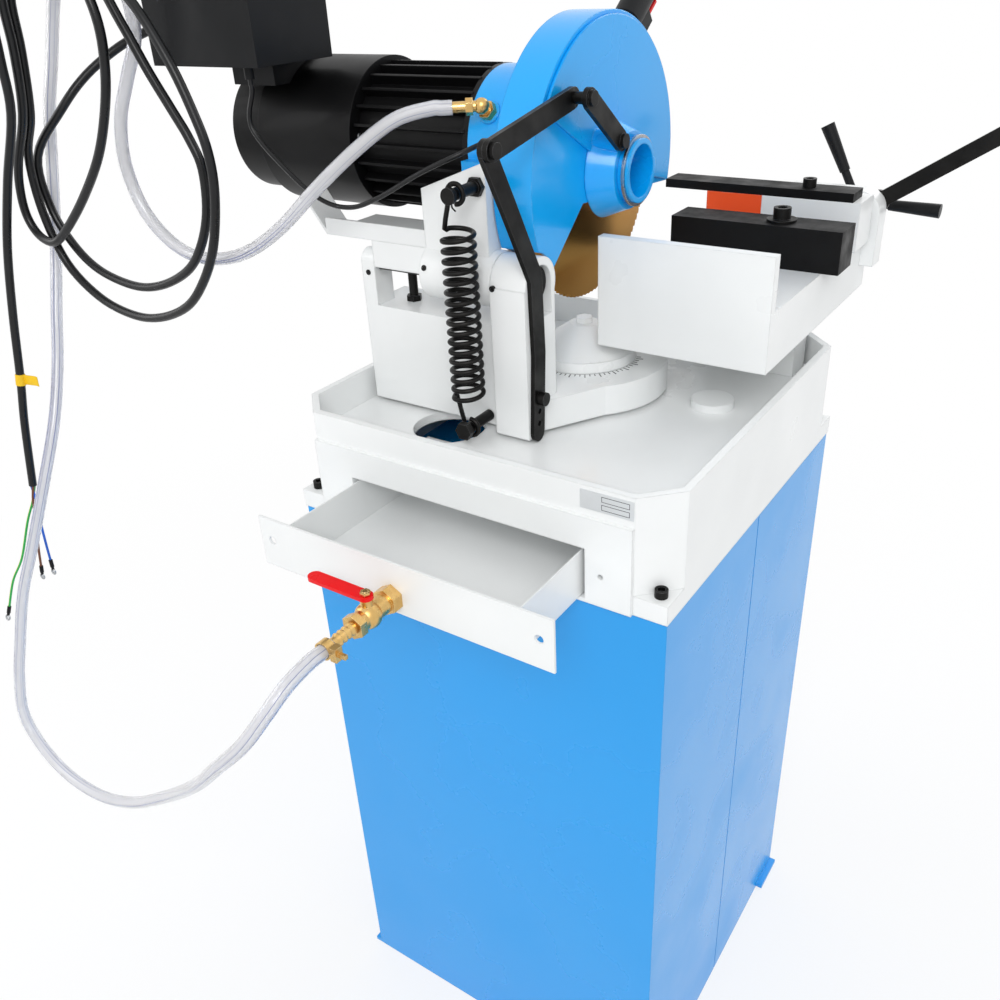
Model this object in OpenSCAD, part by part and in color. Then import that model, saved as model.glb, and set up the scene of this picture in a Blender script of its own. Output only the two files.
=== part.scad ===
// Manual cold saw on a cabinet stand. Millimetres, Z up, floor at zero.
// X runs right along the drawer face, Y runs from the drawer to the operator.

/* [Stand] */
// Cabinet width
stand_width = 448; // [360:1:700]
// Cabinet depth
stand_depth = 456; // [360:1:700]
// Cabinet height, floor to tray
stand_height = 780; // [500:1:1000]
// Cabinet sheet thickness
stand_sheet = 2; // [1:0.5:4]
// Top plate thickness
top_sheet = 3; // [2:0.5:8]
// Gap at the side seam
seam_gap = 2; // [0.5:0.5:6]
// Width of the strip behind the seam
seam_lap = 40; // [20:1:80]
// Door opening width
door_width = 340; // [200:1:420]
// Door opening height
door_height = 520; // [200:1:640]
// Door overlap on the front wall
door_lap = 14; // [8:1:30]
// Height of the door opening above the floor
door_lift = 120; // [60:1:300]
// Hinge knuckle radius
knuckle_radius = 5; // [3:0.5:8]
// Hinge knuckle length
knuckle_length = 26; // [12:1:50]
// Hinge pin radius
hinge_pin_radius = 2.5; // [1.5:0.1:4]
// Latch knob radius
latch_radius = 14; // [8:1:24]
// Latch tongue length
latch_tongue = 46; // [30:1:70]
// Foot plate side
foot_side = 60; // [40:1:90]
// Foot plate reach past the wall
foot_reach = 9; // [2:1:30]
// Foot plate thickness
foot_sheet = 6; // [3:0.5:12]
// Floor anchor hole radius
anchor_radius = 6; // [4:0.5:10]
// Anchor hole distance in from the wall
anchor_inset = 30; // [20:1:60]

/* [Tray] */
// Tray width
tray_width = 450; // [360:1:700]
// Tray depth
tray_depth = 460; // [360:1:700]
// Tray height to the rim
tray_height = 124; // [90:1:200]
// Height of the tray floor
tray_floor = 87; // [60:1:160]
// Tray floor thickness
floor_sheet = 10; // [5:1:20]
// Tray wall thickness
tray_wall = 8; // [4:0.5:16]
// Corner chamfer
tray_corner = 35; // [20:1:60]
// Corner ear thickness
ear_thickness = 21; // [8:1:40]
// Drawer pad reach past the wall
pad_reach = 4; // [1:0.5:10]
// Drawer pad height
pad_height = 93; // [70:1:120]
// Drain hole radius
drain_radius = 40; // [15:1:50]
// Drain hole distance left of centre
drain_left = 88; // [60:1:140]
// Drain hole distance behind centre
drain_back = 128; // [100:1:170]
// Floor boss radius
boss_radius = 24; // [10:1:40]
// Floor boss height
boss_height = 9; // [4:1:20]
// Floor boss distance right of centre
boss_right = 140; // [120:1:180]
// Floor boss distance ahead of centre
boss_ahead = 57; // [30:1:120]
// Tray screw shank radius
screw_radius = 4; // [2:0.5:6]
// Tray screw distance in from the edges
screw_inset = 13; // [8:1:20]
// Bare plate width
label_width = 54; // [30:1:70]
// Bare plate height
label_height = 19; // [10:1:24]
// Bare plate thickness
label_sheet = 0.8; // [0.5:0.1:2]

/* [Drawer] */
// Drawer box width
drawer_width = 274; // [200:1:320]
// Drawer box length
drawer_length = 230; // [150:1:300]
// Drawer side height
drawer_height = 49; // [30:1:56]
// Drawer sheet thickness
drawer_sheet = 1.5; // [1:0.5:3]
// Distance the drawer stands open
drawer_out = 104; // [40:1:140]
// Height of the drawer above the stand
drawer_lift = 6; // [5:0.5:12]
// Drawer front plate width
front_width = 346; // [290:1:380]
// Drawer front plate height
front_height = 56; // [40:1:62]
// Drawer front plate thickness
front_sheet = 2.5; // [1.5:0.5:5]
// Front plate screw hole radius
front_hole = 4.5; // [2:0.5:7]
// Front plate screw hole distance from centre
front_hole_reach = 158; // [145:1:168]
// Drawer runner width
runner_width = 16; // [8:1:30]

/* [Valve and hose] */
// Hose outside radius
hose_radius = 7; // [4:0.5:10]
// Valve distance left of centre
valve_left = 4; // [0:1:40]
// Valve height above the stand
valve_height = 20; // [16:1:34]
// Valve neck radius
neck_radius = 8; // [5:0.5:11]
// Valve hexagon radius
hex_radius = 14; // [10:0.5:18]
// Valve hexagon length
hex_length = 12; // [6:1:20]
// Valve ball body radius
ball_radius = 13; // [9:0.5:16]
// Valve body length
valve_length = 44; // [30:1:70]
// Barb length
barb_length = 28; // [15:1:45]
// Valve stem radius
stem_radius = 3; // [2:0.5:5]
// Lever height above the valve axis
lever_rise = 19; // [16:0.5:30]
// Lever length
lever_length = 62; // [40:1:90]
// Lever width
lever_width = 14; // [9:0.5:20]
// Lever thickness
lever_sheet = 4; // [2:0.5:6]
// Hose clamp width
clamp_width = 9; // [6:0.5:14]
// Hose clamp band thickness
clamp_band = 1.6; // [0.8:0.1:3]

/* [Swivel arm] */
// Swivel axis distance left of centre
hub_left = 13.5; // [0:0.5:40]
// Swivel axis distance ahead of centre
hub_ahead = 40; // [20:1:70]
// Seat height above the tray floor
seat_height = 4; // [2:0.5:10]
// Arm plate thickness
arm_plate = 34; // [20:1:50]
// Arm round end radius
arm_end = 96; // [80:1:110]
// Swivel post radius
post_radius = 18; // [10:0.5:25]
// Swivel cap radius
cap_radius = 60; // [45:1:75]
// Swivel cap rim height
cap_rim = 12; // [6:1:20]
// Swivel cap cone height
cap_cone = 28; // [15:1:40]
// Swivel cap top radius
cap_top = 17; // [10:1:25]
// Right column width
column_width = 41.5; // [30:0.5:60]
// Right column depth
column_depth = 56; // [44:1:70]
// Arm right face distance from the blade
column_offset = 27; // [26:0.5:50]
// Arm left reach from the blade
arm_left = 195; // [170:1:205]
// Arm block depth
arm_depth = 68; // [50:1:80]
// Arm ledge height above the stand
ledge_height = 204; // [180:1:215]
// Left ear width
ear_width = 18; // [12:1:26]
// Head pivot distance behind centre
tilt_back = 94; // [84:1:110]
// Head pivot height above the stand
tilt_height = 250; // [235:1:270]
// Pivot ear radius
ear_radius = 28; // [22:1:34]
// Pivot shaft radius
shaft_radius = 9; // [6:0.5:12]
// Pivot end disc radius
disc_radius = 18; // [12:0.5:22]
// Pivot recess depth
recess_depth = 10; // [6:0.5:16]
// Left ear reach behind the pivot
left_front = 14; // [12:0.5:20]
// Right column reach behind the pivot
right_front = 30; // [26:0.5:36]
// Stop screw distance from the blade
stop_left = 152; // [145:1:168]
// Stop screw distance ahead of the pivot
stop_ahead = 19; // [18:0.5:24]
// Stop screw radius
stop_radius = 5; // [3:0.5:7]
// Stop screw head radius
stop_head = 8; // [6:0.5:11]
// Stop screw head height
stop_head_height = 6; // [4:0.5:9]
// Lock lever length
lock_length = 62; // [40:1:80]
// Lock lever radius
lock_radius = 5; // [3:0.5:8]
// Lock lever knob radius
lock_knob = 10; // [7:0.5:14]

/* [Spring] */
// Spring outside radius
spring_radius = 18; // [14:0.5:19]
// Spring wire radius
wire_radius = 2.5; // [1.5:0.1:2.8]
// Number of curls
curl_count = 17; // [10:1:20]
// Pitch of the curls
curl_pitch = 10.2; // [7:0.1:11]
// Spring distance from the blade
spring_left = 34; // [33.5:0.5:45]
// Spring distance behind the pivot
spring_back = 49; // [48.5:0.5:54]
// Lower spring pin height above the stand
spring_low = 102; // [97:1:110]
// Upper spring pin height above the stand
spring_high = 343; // [335:1:346]
// Spring pin radius
pin_radius = 6; // [4:0.5:8]
// Spring pin head radius
pin_head = 10; // [8:0.5:13]

/* [Rocker] */
// Rocker barrel radius
barrel_radius = 29; // [22:1:34]
// Rocker barrel width
barrel_width = 88; // [70:1:100]
// Rocker upright thickness
upright_sheet = 22; // [14:1:30]
// Rocker upright height above the pivot
upright_height = 116; // [100:1:130]
// Stop lug rise above the pivot
lug_rise = 26; // [16:1:30]
// Stop lug underside below the pivot
lug_drop = 3; // [2:0.5:8]
// Stop lug depth
lug_depth = 46; // [34:1:56]
// Motor shelf thickness
shelf_sheet = 3; // [2:0.5:5]
// Motor shelf length
shelf_length = 138; // [90:1:170]
// Motor shelf depth
shelf_depth = 84; // [50:1:100]
// Motor shelf lip height
shelf_lip = 18; // [8:1:24]
// Motor shelf raised end depth
shelf_end = 36; // [15:1:38]
// Motor shelf end rise
shelf_rise = 40; // [20:1:60]
// Motor shelf end reach
shelf_reach = 30; // [10:1:50]

/* [Saw head] */
// Blade radius
blade_radius = 137.5; // [110:0.5:140]
// Blade thickness
blade_sheet = 2.5; // [1.5:0.1:4]
// Blade bore radius
blade_bore = 16; // [10:0.5:20]
// Number of blade teeth
tooth_count = 110; // [60:2:160]
// Blade tooth depth
tooth_depth = 3; // [1:0.5:5]
// Drive pin radius
drive_pin = 5; // [3:0.5:6]
// Drive pin circle radius
drive_circle = 27; // [24:0.5:28]
// Spindle distance ahead of centre
spindle_ahead = 52; // [40:1:60]
// Spindle height above the stand
spindle_height = 334; // [325:1:345]
// Fixed guard radius
guard_radius = 150; // [145:1:160]
// Fixed guard width
guard_width = 44; // [36:1:48]
// Fixed guard wall thickness
guard_wall = 4; // [2:0.5:6]
// Guard boss outside radius
hub_radius = 32; // [28:0.5:36]
// Guard boss bore radius
hub_bore = 26.5; // [20:0.5:28]
// Guard boss reach from the blade
hub_reach = 62; // [58:1:75]
// Gear case width
case_width = 45; // [38:1:60]
// Gear case wall thickness
case_wall = 6; // [4:0.5:8]
// Gear case radius at the spindle
case_radius = 64; // [58:1:70]
// Gear case radius at the motor
case_motor_radius = 74; // [66:1:80]
// Gear tooth size
gear_module = 2; // [1.6:0.1:2.1]
// Gear face width
gear_width = 22; // [12:1:26]
// Spindle radius
spindle_radius = 12.5; // [9:0.5:14]
// Bearing outside radius
bearing_radius = 23.5; // [19:0.5:26]
// Blade flange radius
flange_radius = 35; // [32:0.5:42]
// Blade flange thickness
flange_sheet = 8; // [5:0.5:9]
// Flange bolt head radius
bolt_head = 9; // [6:0.5:12]
// Retaining ring width
ring_width = 3; // [2:0.5:5]
// Retaining ring radial size
ring_size = 3.5; // [2:0.5:6]
// Moving guard plate thickness
shield_sheet = 3; // [2:0.5:4]
// Moving guard collar root radius
collar_root = 50; // [44:1:56]
// Moving guard collar top radius
collar_top = 39; // [36:0.5:44]
// Moving guard collar length
collar_length = 28; // [20:1:34]
// Guard strap width
strap_width = 20; // [12:0.5:26]
// Guard strap thickness
strap_sheet = 5; // [3:0.5:6]
// Handle bar radius
handle_radius = 11; // [8:0.5:15]
// Handle bar length
handle_length = 260; // [180:1:340]
// Handle grip radius
grip_radius = 17; // [14:0.5:22]
// Handle grip length
grip_length = 120; // [90:1:150]

/* [Motor] */
// Motor body length
motor_length = 150; // [110:1:200]
// Motor body radius
motor_radius = 64; // [50:1:68]
// Motor lap inside the cowl
cowl_lap = 12; // [8:1:30]
// Motor fin height
fin_height = 11; // [6:1:13]
// Motor fin thickness
fin_sheet = 3; // [2:0.5:5]
// Number of motor fins
fin_count = 24; // [12:1:36]
// Fan cowl radius
cowl_radius = 80; // [72:1:82]
// Fan cowl length
cowl_length = 190; // [120:1:230]
// Fan cowl end length
cowl_end = 52; // [30:1:80]
// Fan cowl end radius
cowl_end_radius = 70; // [56:1:76]
// Cowl wall thickness
cowl_sheet = 3; // [2:0.5:5]
// Rotor shaft radius
rotor_shaft = 8.5; // [6:0.5:10]
// Rotor radius
rotor_radius = 36; // [25:0.5:42]
// Control box width
box_width = 160; // [110:1:200]
// Control box depth
box_depth = 110; // [80:1:140]
// Control box height
box_height = 140; // [90:1:180]
// Control box wall thickness
box_wall = 3; // [2:0.5:5]
// Button radius
button_radius = 11; // [7:0.5:15]
// Button reach
button_reach = 9; // [6:0.5:14]
// Hook rod radius
hook_radius = 6; // [4:0.5:8]
// Hook side reach from the box
hook_side = 48; // [36:1:60]
// Hook reach from the box
hook_reach = 118; // [112:1:140]
// Cable radius
cable_radius = 5; // [3:0.5:5.5]
// Switch cable radius
switch_radius = 2.5; // [1.5:0.5:4]

/* [Vise] */
// Vise bed left end distance right of centre
bed_left = 26; // [20:1:40]
// Vise bed width
bed_width = 190; // [150:1:195]
// Vise bed height above the stand
bed_height = 220; // [210:1:230]
// Vise bed thickness
bed_thickness = 62; // [40:1:66]
// Vise bed length
bed_length = 330; // [300:1:360]
// Back wall thickness
wall_sheet = 12; // [8:0.5:20]
// Back wall rise above the bed
wall_rise = 57; // [30:1:70]
// Slot width in the bed
slot_width = 16; // [10:0.5:20]
// Slot depth in the bed
slot_depth = 26; // [18:1:32]
// Slot distance right of centre
slot_right = 160; // [140:1:175]
// Vise foot depth
foot_depth = 40; // [25:1:42]
// Fixed jaw distance ahead of centre
jaw_ahead = 150; // [140:1:160]
// Fixed jaw depth
jaw_depth = 45; // [30:1:50]
// Fixed jaw height
jaw_height = 46; // [30:1:52]
// Fixed jaw length
jaw_length = 195; // [150:1:200]
// Jaw screw radius
jaw_screw = 6; // [4:0.5:7]
// Gap between the jaws
jaw_gap = 46; // [42:1:60]
// Slide depth
slide_depth = 52; // [40:1:60]
// Slide length
slide_length = 114; // [90:1:130]
// Slide height
slide_height = 55; // [40:1:60]
// Moving jaw plate thickness
jaw_sheet = 10; // [6:0.5:16]
// Moving jaw plate length
plate_length = 228; // [190:1:230]
// Moving jaw plate depth
plate_depth = 35; // [24:1:45]
// Jaw liner thickness
liner_sheet = 6; // [3:0.5:10]
// End bracket depth
bracket_depth = 28; // [18:1:34]
// End bracket right end distance right of centre
bracket_right = 232; // [228:1:250]
// End bracket corner radius
bracket_round = 25; // [15:1:28]
// Lead screw radius
lead_radius = 8; // [5:0.5:10]
// Lead screw distance right of centre
lead_right = 182; // [170:1:190]
// Lead screw height above the bed
lead_rise = 24; // [18:1:32]
// Crank spoke length
spoke_length = 100; // [70:1:130]
// Crank spoke radius
spoke_radius = 5; // [3:0.5:7]
// Crank grip radius
crank_grip = 8.5; // [6:0.5:11]
// Clamp lever length
clamp_length = 200; // [120:1:260]
// Clamp lever width
clamp_lever_width = 26; // [16:1:34]
// Clamp lever thickness
clamp_sheet = 6; // [4:0.5:8]

/* [Fits] */
// Overrun of every cut
overrun = 1; // [0.5:0.1:2]
// Running fit on shafts
run_fit = 0.05; // [0.02:0.01:0.1]
// Sliding gap
slide_gap = 0.4; // [0.3:0.05:0.8]
// Clear gap around loose pieces
clear_gap = 1.5; // [1:0.1:3]

/* [Hidden] */
$fn = 64;

paint_blue = [0.10, 0.50, 0.88];
paint_white = [0.90, 0.91, 0.92];
steel = [0.70, 0.71, 0.73];
black = [0.10, 0.10, 0.11];
brass = [0.80, 0.62, 0.28];
red = [0.80, 0.08, 0.10];
orange = [0.95, 0.40, 0.15];
gold = [0.72, 0.56, 0.30];
clear = [0.85, 0.87, 0.92];

half = 0.5;
// Main levels and axes
top_z = stand_height;
floor_z = top_z + tray_floor;
seat_z = floor_z + seat_height;
arm_z = seat_z + slide_gap;
blade_x = -hub_left;
hub_y = hub_ahead;
tilt_y = -tilt_back;
tilt_z = top_z + tilt_height;
spin_y = spindle_ahead;
spin_z = top_z + spindle_height;
pinion_teeth = 13;
gear_teeth = 48;
drive_angle = 31.6;
gear_distance = gear_module * (pinion_teeth + gear_teeth) * half;
motor_y = spin_y - gear_distance * cos(drive_angle);
motor_z = spin_z + gear_distance * sin(drive_angle);
guard_left_x = blade_x - guard_width * half;
guard_right_x = blade_x + guard_width * half;
case_left_x = guard_left_x - case_width;
arm_right_x = blade_x + column_offset;
column_left_x = arm_right_x - column_width;
arm_left_x = blade_x - arm_left;
rocker_right_x = column_left_x - slide_gap;
rocker_left_x = rocker_right_x - barrel_width;
lug_left_x = arm_left_x + ear_width + slide_gap;
spring_x = blade_x - spring_left;
spring_y = tilt_y - spring_back;
left_front_y = tilt_y - left_front;
right_front_y = tilt_y - right_front;
upright_y = left_front_y + upright_sheet;
bed_z = top_z + bed_height;
bed_right_x = bed_left + bed_width;
slide_front_y = jaw_ahead + jaw_depth + jaw_gap;
slide_back_y = slide_front_y + slide_depth;
bracket_y = bed_length - bracket_depth;
slide_right_x = bed_right_x + foot_reach;
slide_top_z = bed_z + slide_gap + slide_height;
lead_z = bed_z + lead_rise;
crank_y = bed_length + jaw_gap;
clamp_x = bracket_right - bracket_round * 0.44;
clamp_z = slide_top_z - bracket_round * 0.68;
clamp_angle = 34;
tray_front_y = -tray_depth * half;
pad_y = tray_front_y - pad_reach;
front_y = pad_y - drawer_out;
valve_z = top_z + valve_height;
barb_y = front_y - front_sheet - hex_length - valve_length;
hose_y = barb_y - barb_length;
strap_x = arm_right_x;
link_x = strap_x + strap_sheet + slide_gap;
lever_x = guard_right_x + slide_gap + collar_length;
motor_right_x = case_left_x;
motor_left_x = motor_right_x - motor_length;
cowl_left_x = motor_left_x - cowl_length;
box_z = motor_z + cowl_radius + clear_gap;
box_right_x = motor_left_x - cowl_end;
box_left_x = box_right_x - box_width;
box_front_y = motor_y - cowl_end_radius * half;
box_back_y = box_front_y - box_depth;
hook_share = 0.79;
hook_x = box_left_x - hook_side;
hook_z = box_z + box_height * hook_share;
hook_root_y = box_back_y + box_depth * 0.3;
gland_z = box_z + box_height * half * half;
hook_tip_y = box_back_y - hook_reach;

// Points of the guard linkage as shares of the guard radius, from the spindle
link_pin_share = [-1.547, 0.387];
lever_pin_share = [-0.627, 0.547];
lever_bolt_share = [-0.2, 0.227];
guard_edge_shares = [[-0.87, -0.61], [-0.35, -0.17], [0.38, -0.22], [1.02, -0.27], [1.2, -1.2], [-1.2, -1.2]];
shield_start = -15;
shield_end = 150;

// A point given as shares of the guard radius from the spindle
function guard_point(share) = [spin_y + share[0] * guard_radius, spin_z + share[1] * guard_radius];

// A route given as shares of the tray width, with Z counted from the stand top
function route(shares) = [for (s = shares) [s[0] * tray_width, s[1] * tray_width, top_z + s[2] * tray_width]];

// Point on the smooth curve between b and c
function smooth_point(a, b, c, d, t) =
  half * ((2 * b) + (c - a) * t + (2 * a - 5 * b + 4 * c - d) * t * t + (3 * b - a - 3 * c + d) * t * t * t);

// Smooth path through points with a number of steps in each stretch
function smooth_path(p, steps) = concat(
  [for (i = [0:len(p) - 2]) for (k = [0:steps - 1])
    smooth_point(p[max(i - 1, 0)], p[i], p[i + 1], p[min(i + 2, len(p) - 1)], k / steps)],
  [p[len(p) - 1]]);

function unit(v) = v / norm(v);
function heading(p, i) = unit(p[min(i + 1, len(p) - 1)] - p[max(i - 1, 0)]);

// First side direction, square to the heading
function first_side(t) = unit(cross(t, abs(t[2]) < 0.9 ? [0, 0, 1] : [1, 0, 0]));

// Side directions carried along the path without twist
function carried(p, i, s) = i == len(p) ? [] : let (
  t = heading(p, i),
  u = unit(s - t * (s * t))) concat([u], carried(p, i + 1, u));

// Round tube along a path, or along a stretch of it
module tube(p, radius, sides, from = 0, to = -1) {
  end = to < 0 ? len(p) - 1 : to;
  rings = end - from + 1;
  frames = carried(p, 0, first_side(heading(p, 0)));
  points = [for (i = [from:end]) let (u = frames[i], v = cross(heading(p, i), u))
    for (k = [0:sides - 1]) p[i] + radius * (cos(360 * k / sides) * u + sin(360 * k / sides) * v)];
  last = (rings - 1) * sides;
  faces = concat(
    [[for (k = [0:sides - 1]) k]],
    [for (i = [0:rings - 2]) for (k = [0:sides - 1])
      [i * sides + k, (i + 1) * sides + k, (i + 1) * sides + (k + 1) % sides]],
    [for (i = [0:rings - 2]) for (k = [0:sides - 1])
      [i * sides + k, (i + 1) * sides + (k + 1) % sides, i * sides + (k + 1) % sides]],
    [[for (k = [0:sides - 1]) last + sides - 1 - k]]);
  polyhedron(points = points, faces = faces);
}

// Rods along X, Y and a block between two corners
module rod_x(radius, length, fn = 64) {
  rotate([0, 90, 0]) cylinder(r = radius, h = length, $fn = fn);
}

module rod_y(radius, length, fn = 64) {
  rotate([-90, 0, 0]) cylinder(r = radius, h = length, $fn = fn);
}

module block(low, high) {
  translate(low) cube(high - low);
}

// Outline in Y and Z pushed along X
module push_x(x, length) {
  translate([x, 0, 0]) rotate([90, 0, 90]) linear_extrude(length) children();
}

// Outline in X and Z pushed along Y
module push_y(y, length) {
  translate([0, y + length, 0]) rotate([90, 0, 0]) linear_extrude(length) children();
}

// Side of a bent strap at one of its points, mitred between its two stretches
function turned(d) = [-d[1], d[0]];
function strap_side(p, i, reach) = let (
  n = turned(heading(p, i)),
  a = turned(i > 0 ? unit(p[i] - p[i - 1]) : heading(p, i)))
  p[i] + n * reach / (n * a);

// Flat strap through points, with round ends a little inside its width
round_share = 0.97;
module strap_outline(points, width) {
  last = len(points) - 1;
  reach = width * half;
  polygon(concat(
    [for (i = [0:last]) strap_side(points, i, reach)],
    [for (i = [last:-1:0]) strap_side(points, i, -reach)]));
  translate(points[0]) circle(r = reach * round_share);
  translate(points[last]) circle(r = reach * round_share);
}

// Socket head screw pointing down from its head seat
module socket_screw(radius, length) {
  head = radius * 1.6;
  difference() {
    union() {
      translate([0, 0, -length]) cylinder(r = radius, h = length);
      cylinder(r = head, h = radius * 2);
    }
    translate([0, 0, radius]) cylinder(r = radius, h = radius + overrun, $fn = 6);
  }
}

// Half of the cabinet shell, open at the seam
module shell_half(low_y, high_y) {
  side_x = stand_width * half;
  cut_low = low_y < -stand_depth * half * half ? low_y + stand_sheet : low_y - overrun;
  cut_high = high_y > stand_depth * half * half ? high_y - stand_sheet : high_y + overrun;
  difference() {
    block([-side_x, low_y, 0], [side_x, high_y, top_z - top_sheet]);
    block([-side_x + stand_sheet, cut_low, -overrun], [side_x - stand_sheet, cut_high, top_z]);
  }
}

// Foot plates at the corners of one side
module feet(side) {
  foot_x = stand_width * half + foot_reach;
  y = side * (stand_depth * half - foot_side * half);
  for (s = [-1, 1]) {
    difference() {
      translate([s * (foot_x - foot_side * half), y, foot_sheet * half])
        cube([foot_side, foot_side, foot_sheet], center = true);
      translate([s * (stand_width * half - anchor_inset), side * (stand_depth * half - anchor_inset),
        -overrun])
        cylinder(r = anchor_radius, h = foot_sheet + 2 * overrun);
    }
  }
}

hinge_x = -door_width * half - door_lap;
hinge_y = stand_depth * half + slide_gap + knuckle_radius;
hinge_levels = [door_lift + door_height * 0.12, door_lift + door_height * 0.82];
latch_x = door_width * half - latch_tongue * 0.6;
latch_z = door_lift + door_height * half;

// The top plate covers the stand and reaches round the tray's screws
plate_x = max(stand_width * half, tray_width * half - screw_inset + screw_radius * 2.5);
plate_y = max(stand_depth * half, tray_depth * half - screw_inset + screw_radius * 2.5);

module stand_rear() {
  color(paint_blue) {
    shell_half(-stand_depth * half, -seam_gap * half);
    difference() {
      block([-plate_x, -plate_y, top_z - top_sheet], [plate_x, plate_y, top_z]);
      for (sx = [-1, 1]) for (sy = [-1, 1])
        translate([sx * (tray_width * half - screw_inset), sy * (tray_depth * half - screw_inset),
          top_z - top_sheet - overrun])
          cylinder(r = screw_radius + run_fit, h = top_sheet + 2 * overrun);
    }
    for (s = [-1, 1])
      translate([s * (stand_width * half - stand_sheet * 1.5) - stand_sheet * half, -seam_lap * half,
        foot_sheet])
        cube([stand_sheet, seam_lap, top_z - top_sheet - foot_sheet]);
    feet(-1);
  }
}

module stand_front() {
  color(paint_blue) {
    difference() {
      shell_half(seam_gap * half, stand_depth * half);
      block([-door_width * half, stand_depth * half - stand_sheet - overrun, door_lift],
        [door_width * half, stand_depth * half + overrun, door_lift + door_height]);
    }
    feet(1);
    for (z = hinge_levels) {
      translate([hinge_x, hinge_y, z]) cylinder(r = knuckle_radius, h = knuckle_length);
      translate([hinge_x, hinge_y, z]) cylinder(r = hinge_pin_radius, h = knuckle_length * 2);
      block([hinge_x - knuckle_radius, stand_depth * half, z],
        [hinge_x + knuckle_radius, hinge_y, z + knuckle_length]);
    }
  }
}

module stand_door() {
  panel_y = stand_depth * half + slide_gap;
  panel_x = hinge_x + knuckle_radius + clear_gap;
  color(paint_blue) {
    difference() {
      block([panel_x, panel_y, door_lift - door_lap],
        [door_width * half + door_lap, panel_y + stand_sheet, door_lift + door_height + door_lap]);
      translate([latch_x, panel_y - overrun, latch_z])
        rod_y(stem_radius + run_fit, stand_sheet + 2 * overrun);
    }
    for (z = [door_lift + door_lap, door_lift + door_height - door_lap])
      block([-door_width * half + door_lap, panel_y - door_lap, z - stand_sheet],
        [latch_x - latch_tongue, panel_y + overrun * half, z]);
    for (z = hinge_levels) {
      difference() {
        union() {
          translate([hinge_x, hinge_y, z + knuckle_length + slide_gap])
            cylinder(r = knuckle_radius, h = knuckle_length - slide_gap);
          block([hinge_x, panel_y, z + knuckle_length + slide_gap],
            [panel_x + overrun, panel_y + stand_sheet, z + 2 * knuckle_length]);
        }
        translate([hinge_x, hinge_y, z]) cylinder(r = hinge_pin_radius + run_fit, h = 3 * knuckle_length);
      }
    }
  }
}

module door_latch() {
  panel_y = stand_depth * half + slide_gap;
  inner_y = stand_depth * half - stand_sheet - slide_gap;
  color(black) {
    translate([latch_x, panel_y + stand_sheet + slide_gap, latch_z]) rod_y(latch_radius, latch_radius);
    translate([latch_x, inner_y - stand_sheet, latch_z])
      rod_y(stem_radius, panel_y - inner_y + 3 * stand_sheet);
    block([latch_x - lever_width * half, inner_y - stand_sheet, latch_z - lever_width * half],
      [latch_x + lever_width * half, inner_y, latch_z + latch_tongue - lever_width * half]);
  }
}

// Plan of the tray with cut corners
module tray_plan(inset) {
  w = tray_width * half - inset;
  d = tray_depth * half - inset;
  c = tray_corner - inset * (2 - sqrt(2));
  polygon([[-w + c, -d], [w - c, -d], [w, -d + c], [w, d - c], [w - c, d], [-w + c, d], [-w, d - c],
    [-w, -d + c]]);
}

module base_tray() {
  pad_x = tray_width * half - tray_corner;
  open_x = drawer_width * half + clear_gap * 3;
  color(paint_white) {
    difference() {
      union() {
        translate([0, 0, top_z]) linear_extrude(tray_height) tray_plan(0);
        block([-tray_width * half, -tray_depth * half, top_z],
          [tray_width * half, tray_depth * half, top_z + ear_thickness]);
        block([-pad_x, pad_y, top_z], [pad_x, tray_front_y + tray_wall, top_z + pad_height]);
      }
      translate([0, 0, floor_z]) linear_extrude(tray_height) tray_plan(tray_wall);
      translate([0, 0, top_z - overrun]) linear_extrude(tray_floor - floor_sheet + overrun)
        tray_plan(tray_wall);
      block([-open_x, pad_y - overrun, top_z + drawer_lift - clear_gap],
        [open_x, tray_front_y + tray_wall + overrun, top_z + drawer_lift + drawer_height + clear_gap * 3]);
      translate([-drain_left, -drain_back, floor_z - floor_sheet - overrun])
        cylinder(r = drain_radius, h = floor_sheet + 2 * overrun);
      translate([-hub_left, hub_y, floor_z - floor_sheet - overrun])
        cylinder(r = post_radius + run_fit, h = floor_sheet + 2 * overrun);
      for (s = [-1, 1]) translate([s * front_hole_reach, pad_y - overrun, top_z + front_height * 0.6])
        rod_y(front_hole * 0.6, pad_reach + tray_wall + 2 * overrun);
      for (sx = [-1, 1]) for (sy = [-1, 1])
        translate([sx * (tray_width * half - screw_inset), sy * (tray_depth * half - screw_inset),
          top_z - overrun])
          cylinder(r = screw_radius + run_fit, h = ear_thickness + 2 * overrun);
    }
    difference() {
      translate([-hub_left, hub_y, floor_z - overrun])
        cylinder(r = arm_end - tray_wall, h = seat_height + overrun);
      translate([-hub_left, hub_y, floor_z - 2 * overrun])
        cylinder(r = post_radius + run_fit, h = seat_height + 3 * overrun);
    }
    translate([boss_right, boss_ahead, floor_z - overrun])
      cylinder(r = boss_radius, h = boss_height + overrun);
    for (s = [-1, 1])
      translate([s * (drawer_width * half - runner_width) - runner_width * half, tray_front_y + overrun,
        top_z])
        cube([runner_width, tray_depth * 0.8, drawer_lift - slide_gap]);
  }
}

module tray_screws() {
  color(black)
    for (sx = [-1, 1]) for (sy = [-1, 1])
      translate([sx * (tray_width * half - screw_inset), sy * (tray_depth * half - screw_inset),
        top_z + ear_thickness])
        socket_screw(screw_radius, ear_thickness + top_sheet);
}

module data_plate() {
  x = tray_width * half - tray_corner - label_width - label_sheet;
  color(steel)
    block([x, tray_front_y - label_sheet, top_z + tray_height - label_height - pad_reach],
      [x + label_width, tray_front_y, top_z + tray_height - pad_reach]);
}

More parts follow.
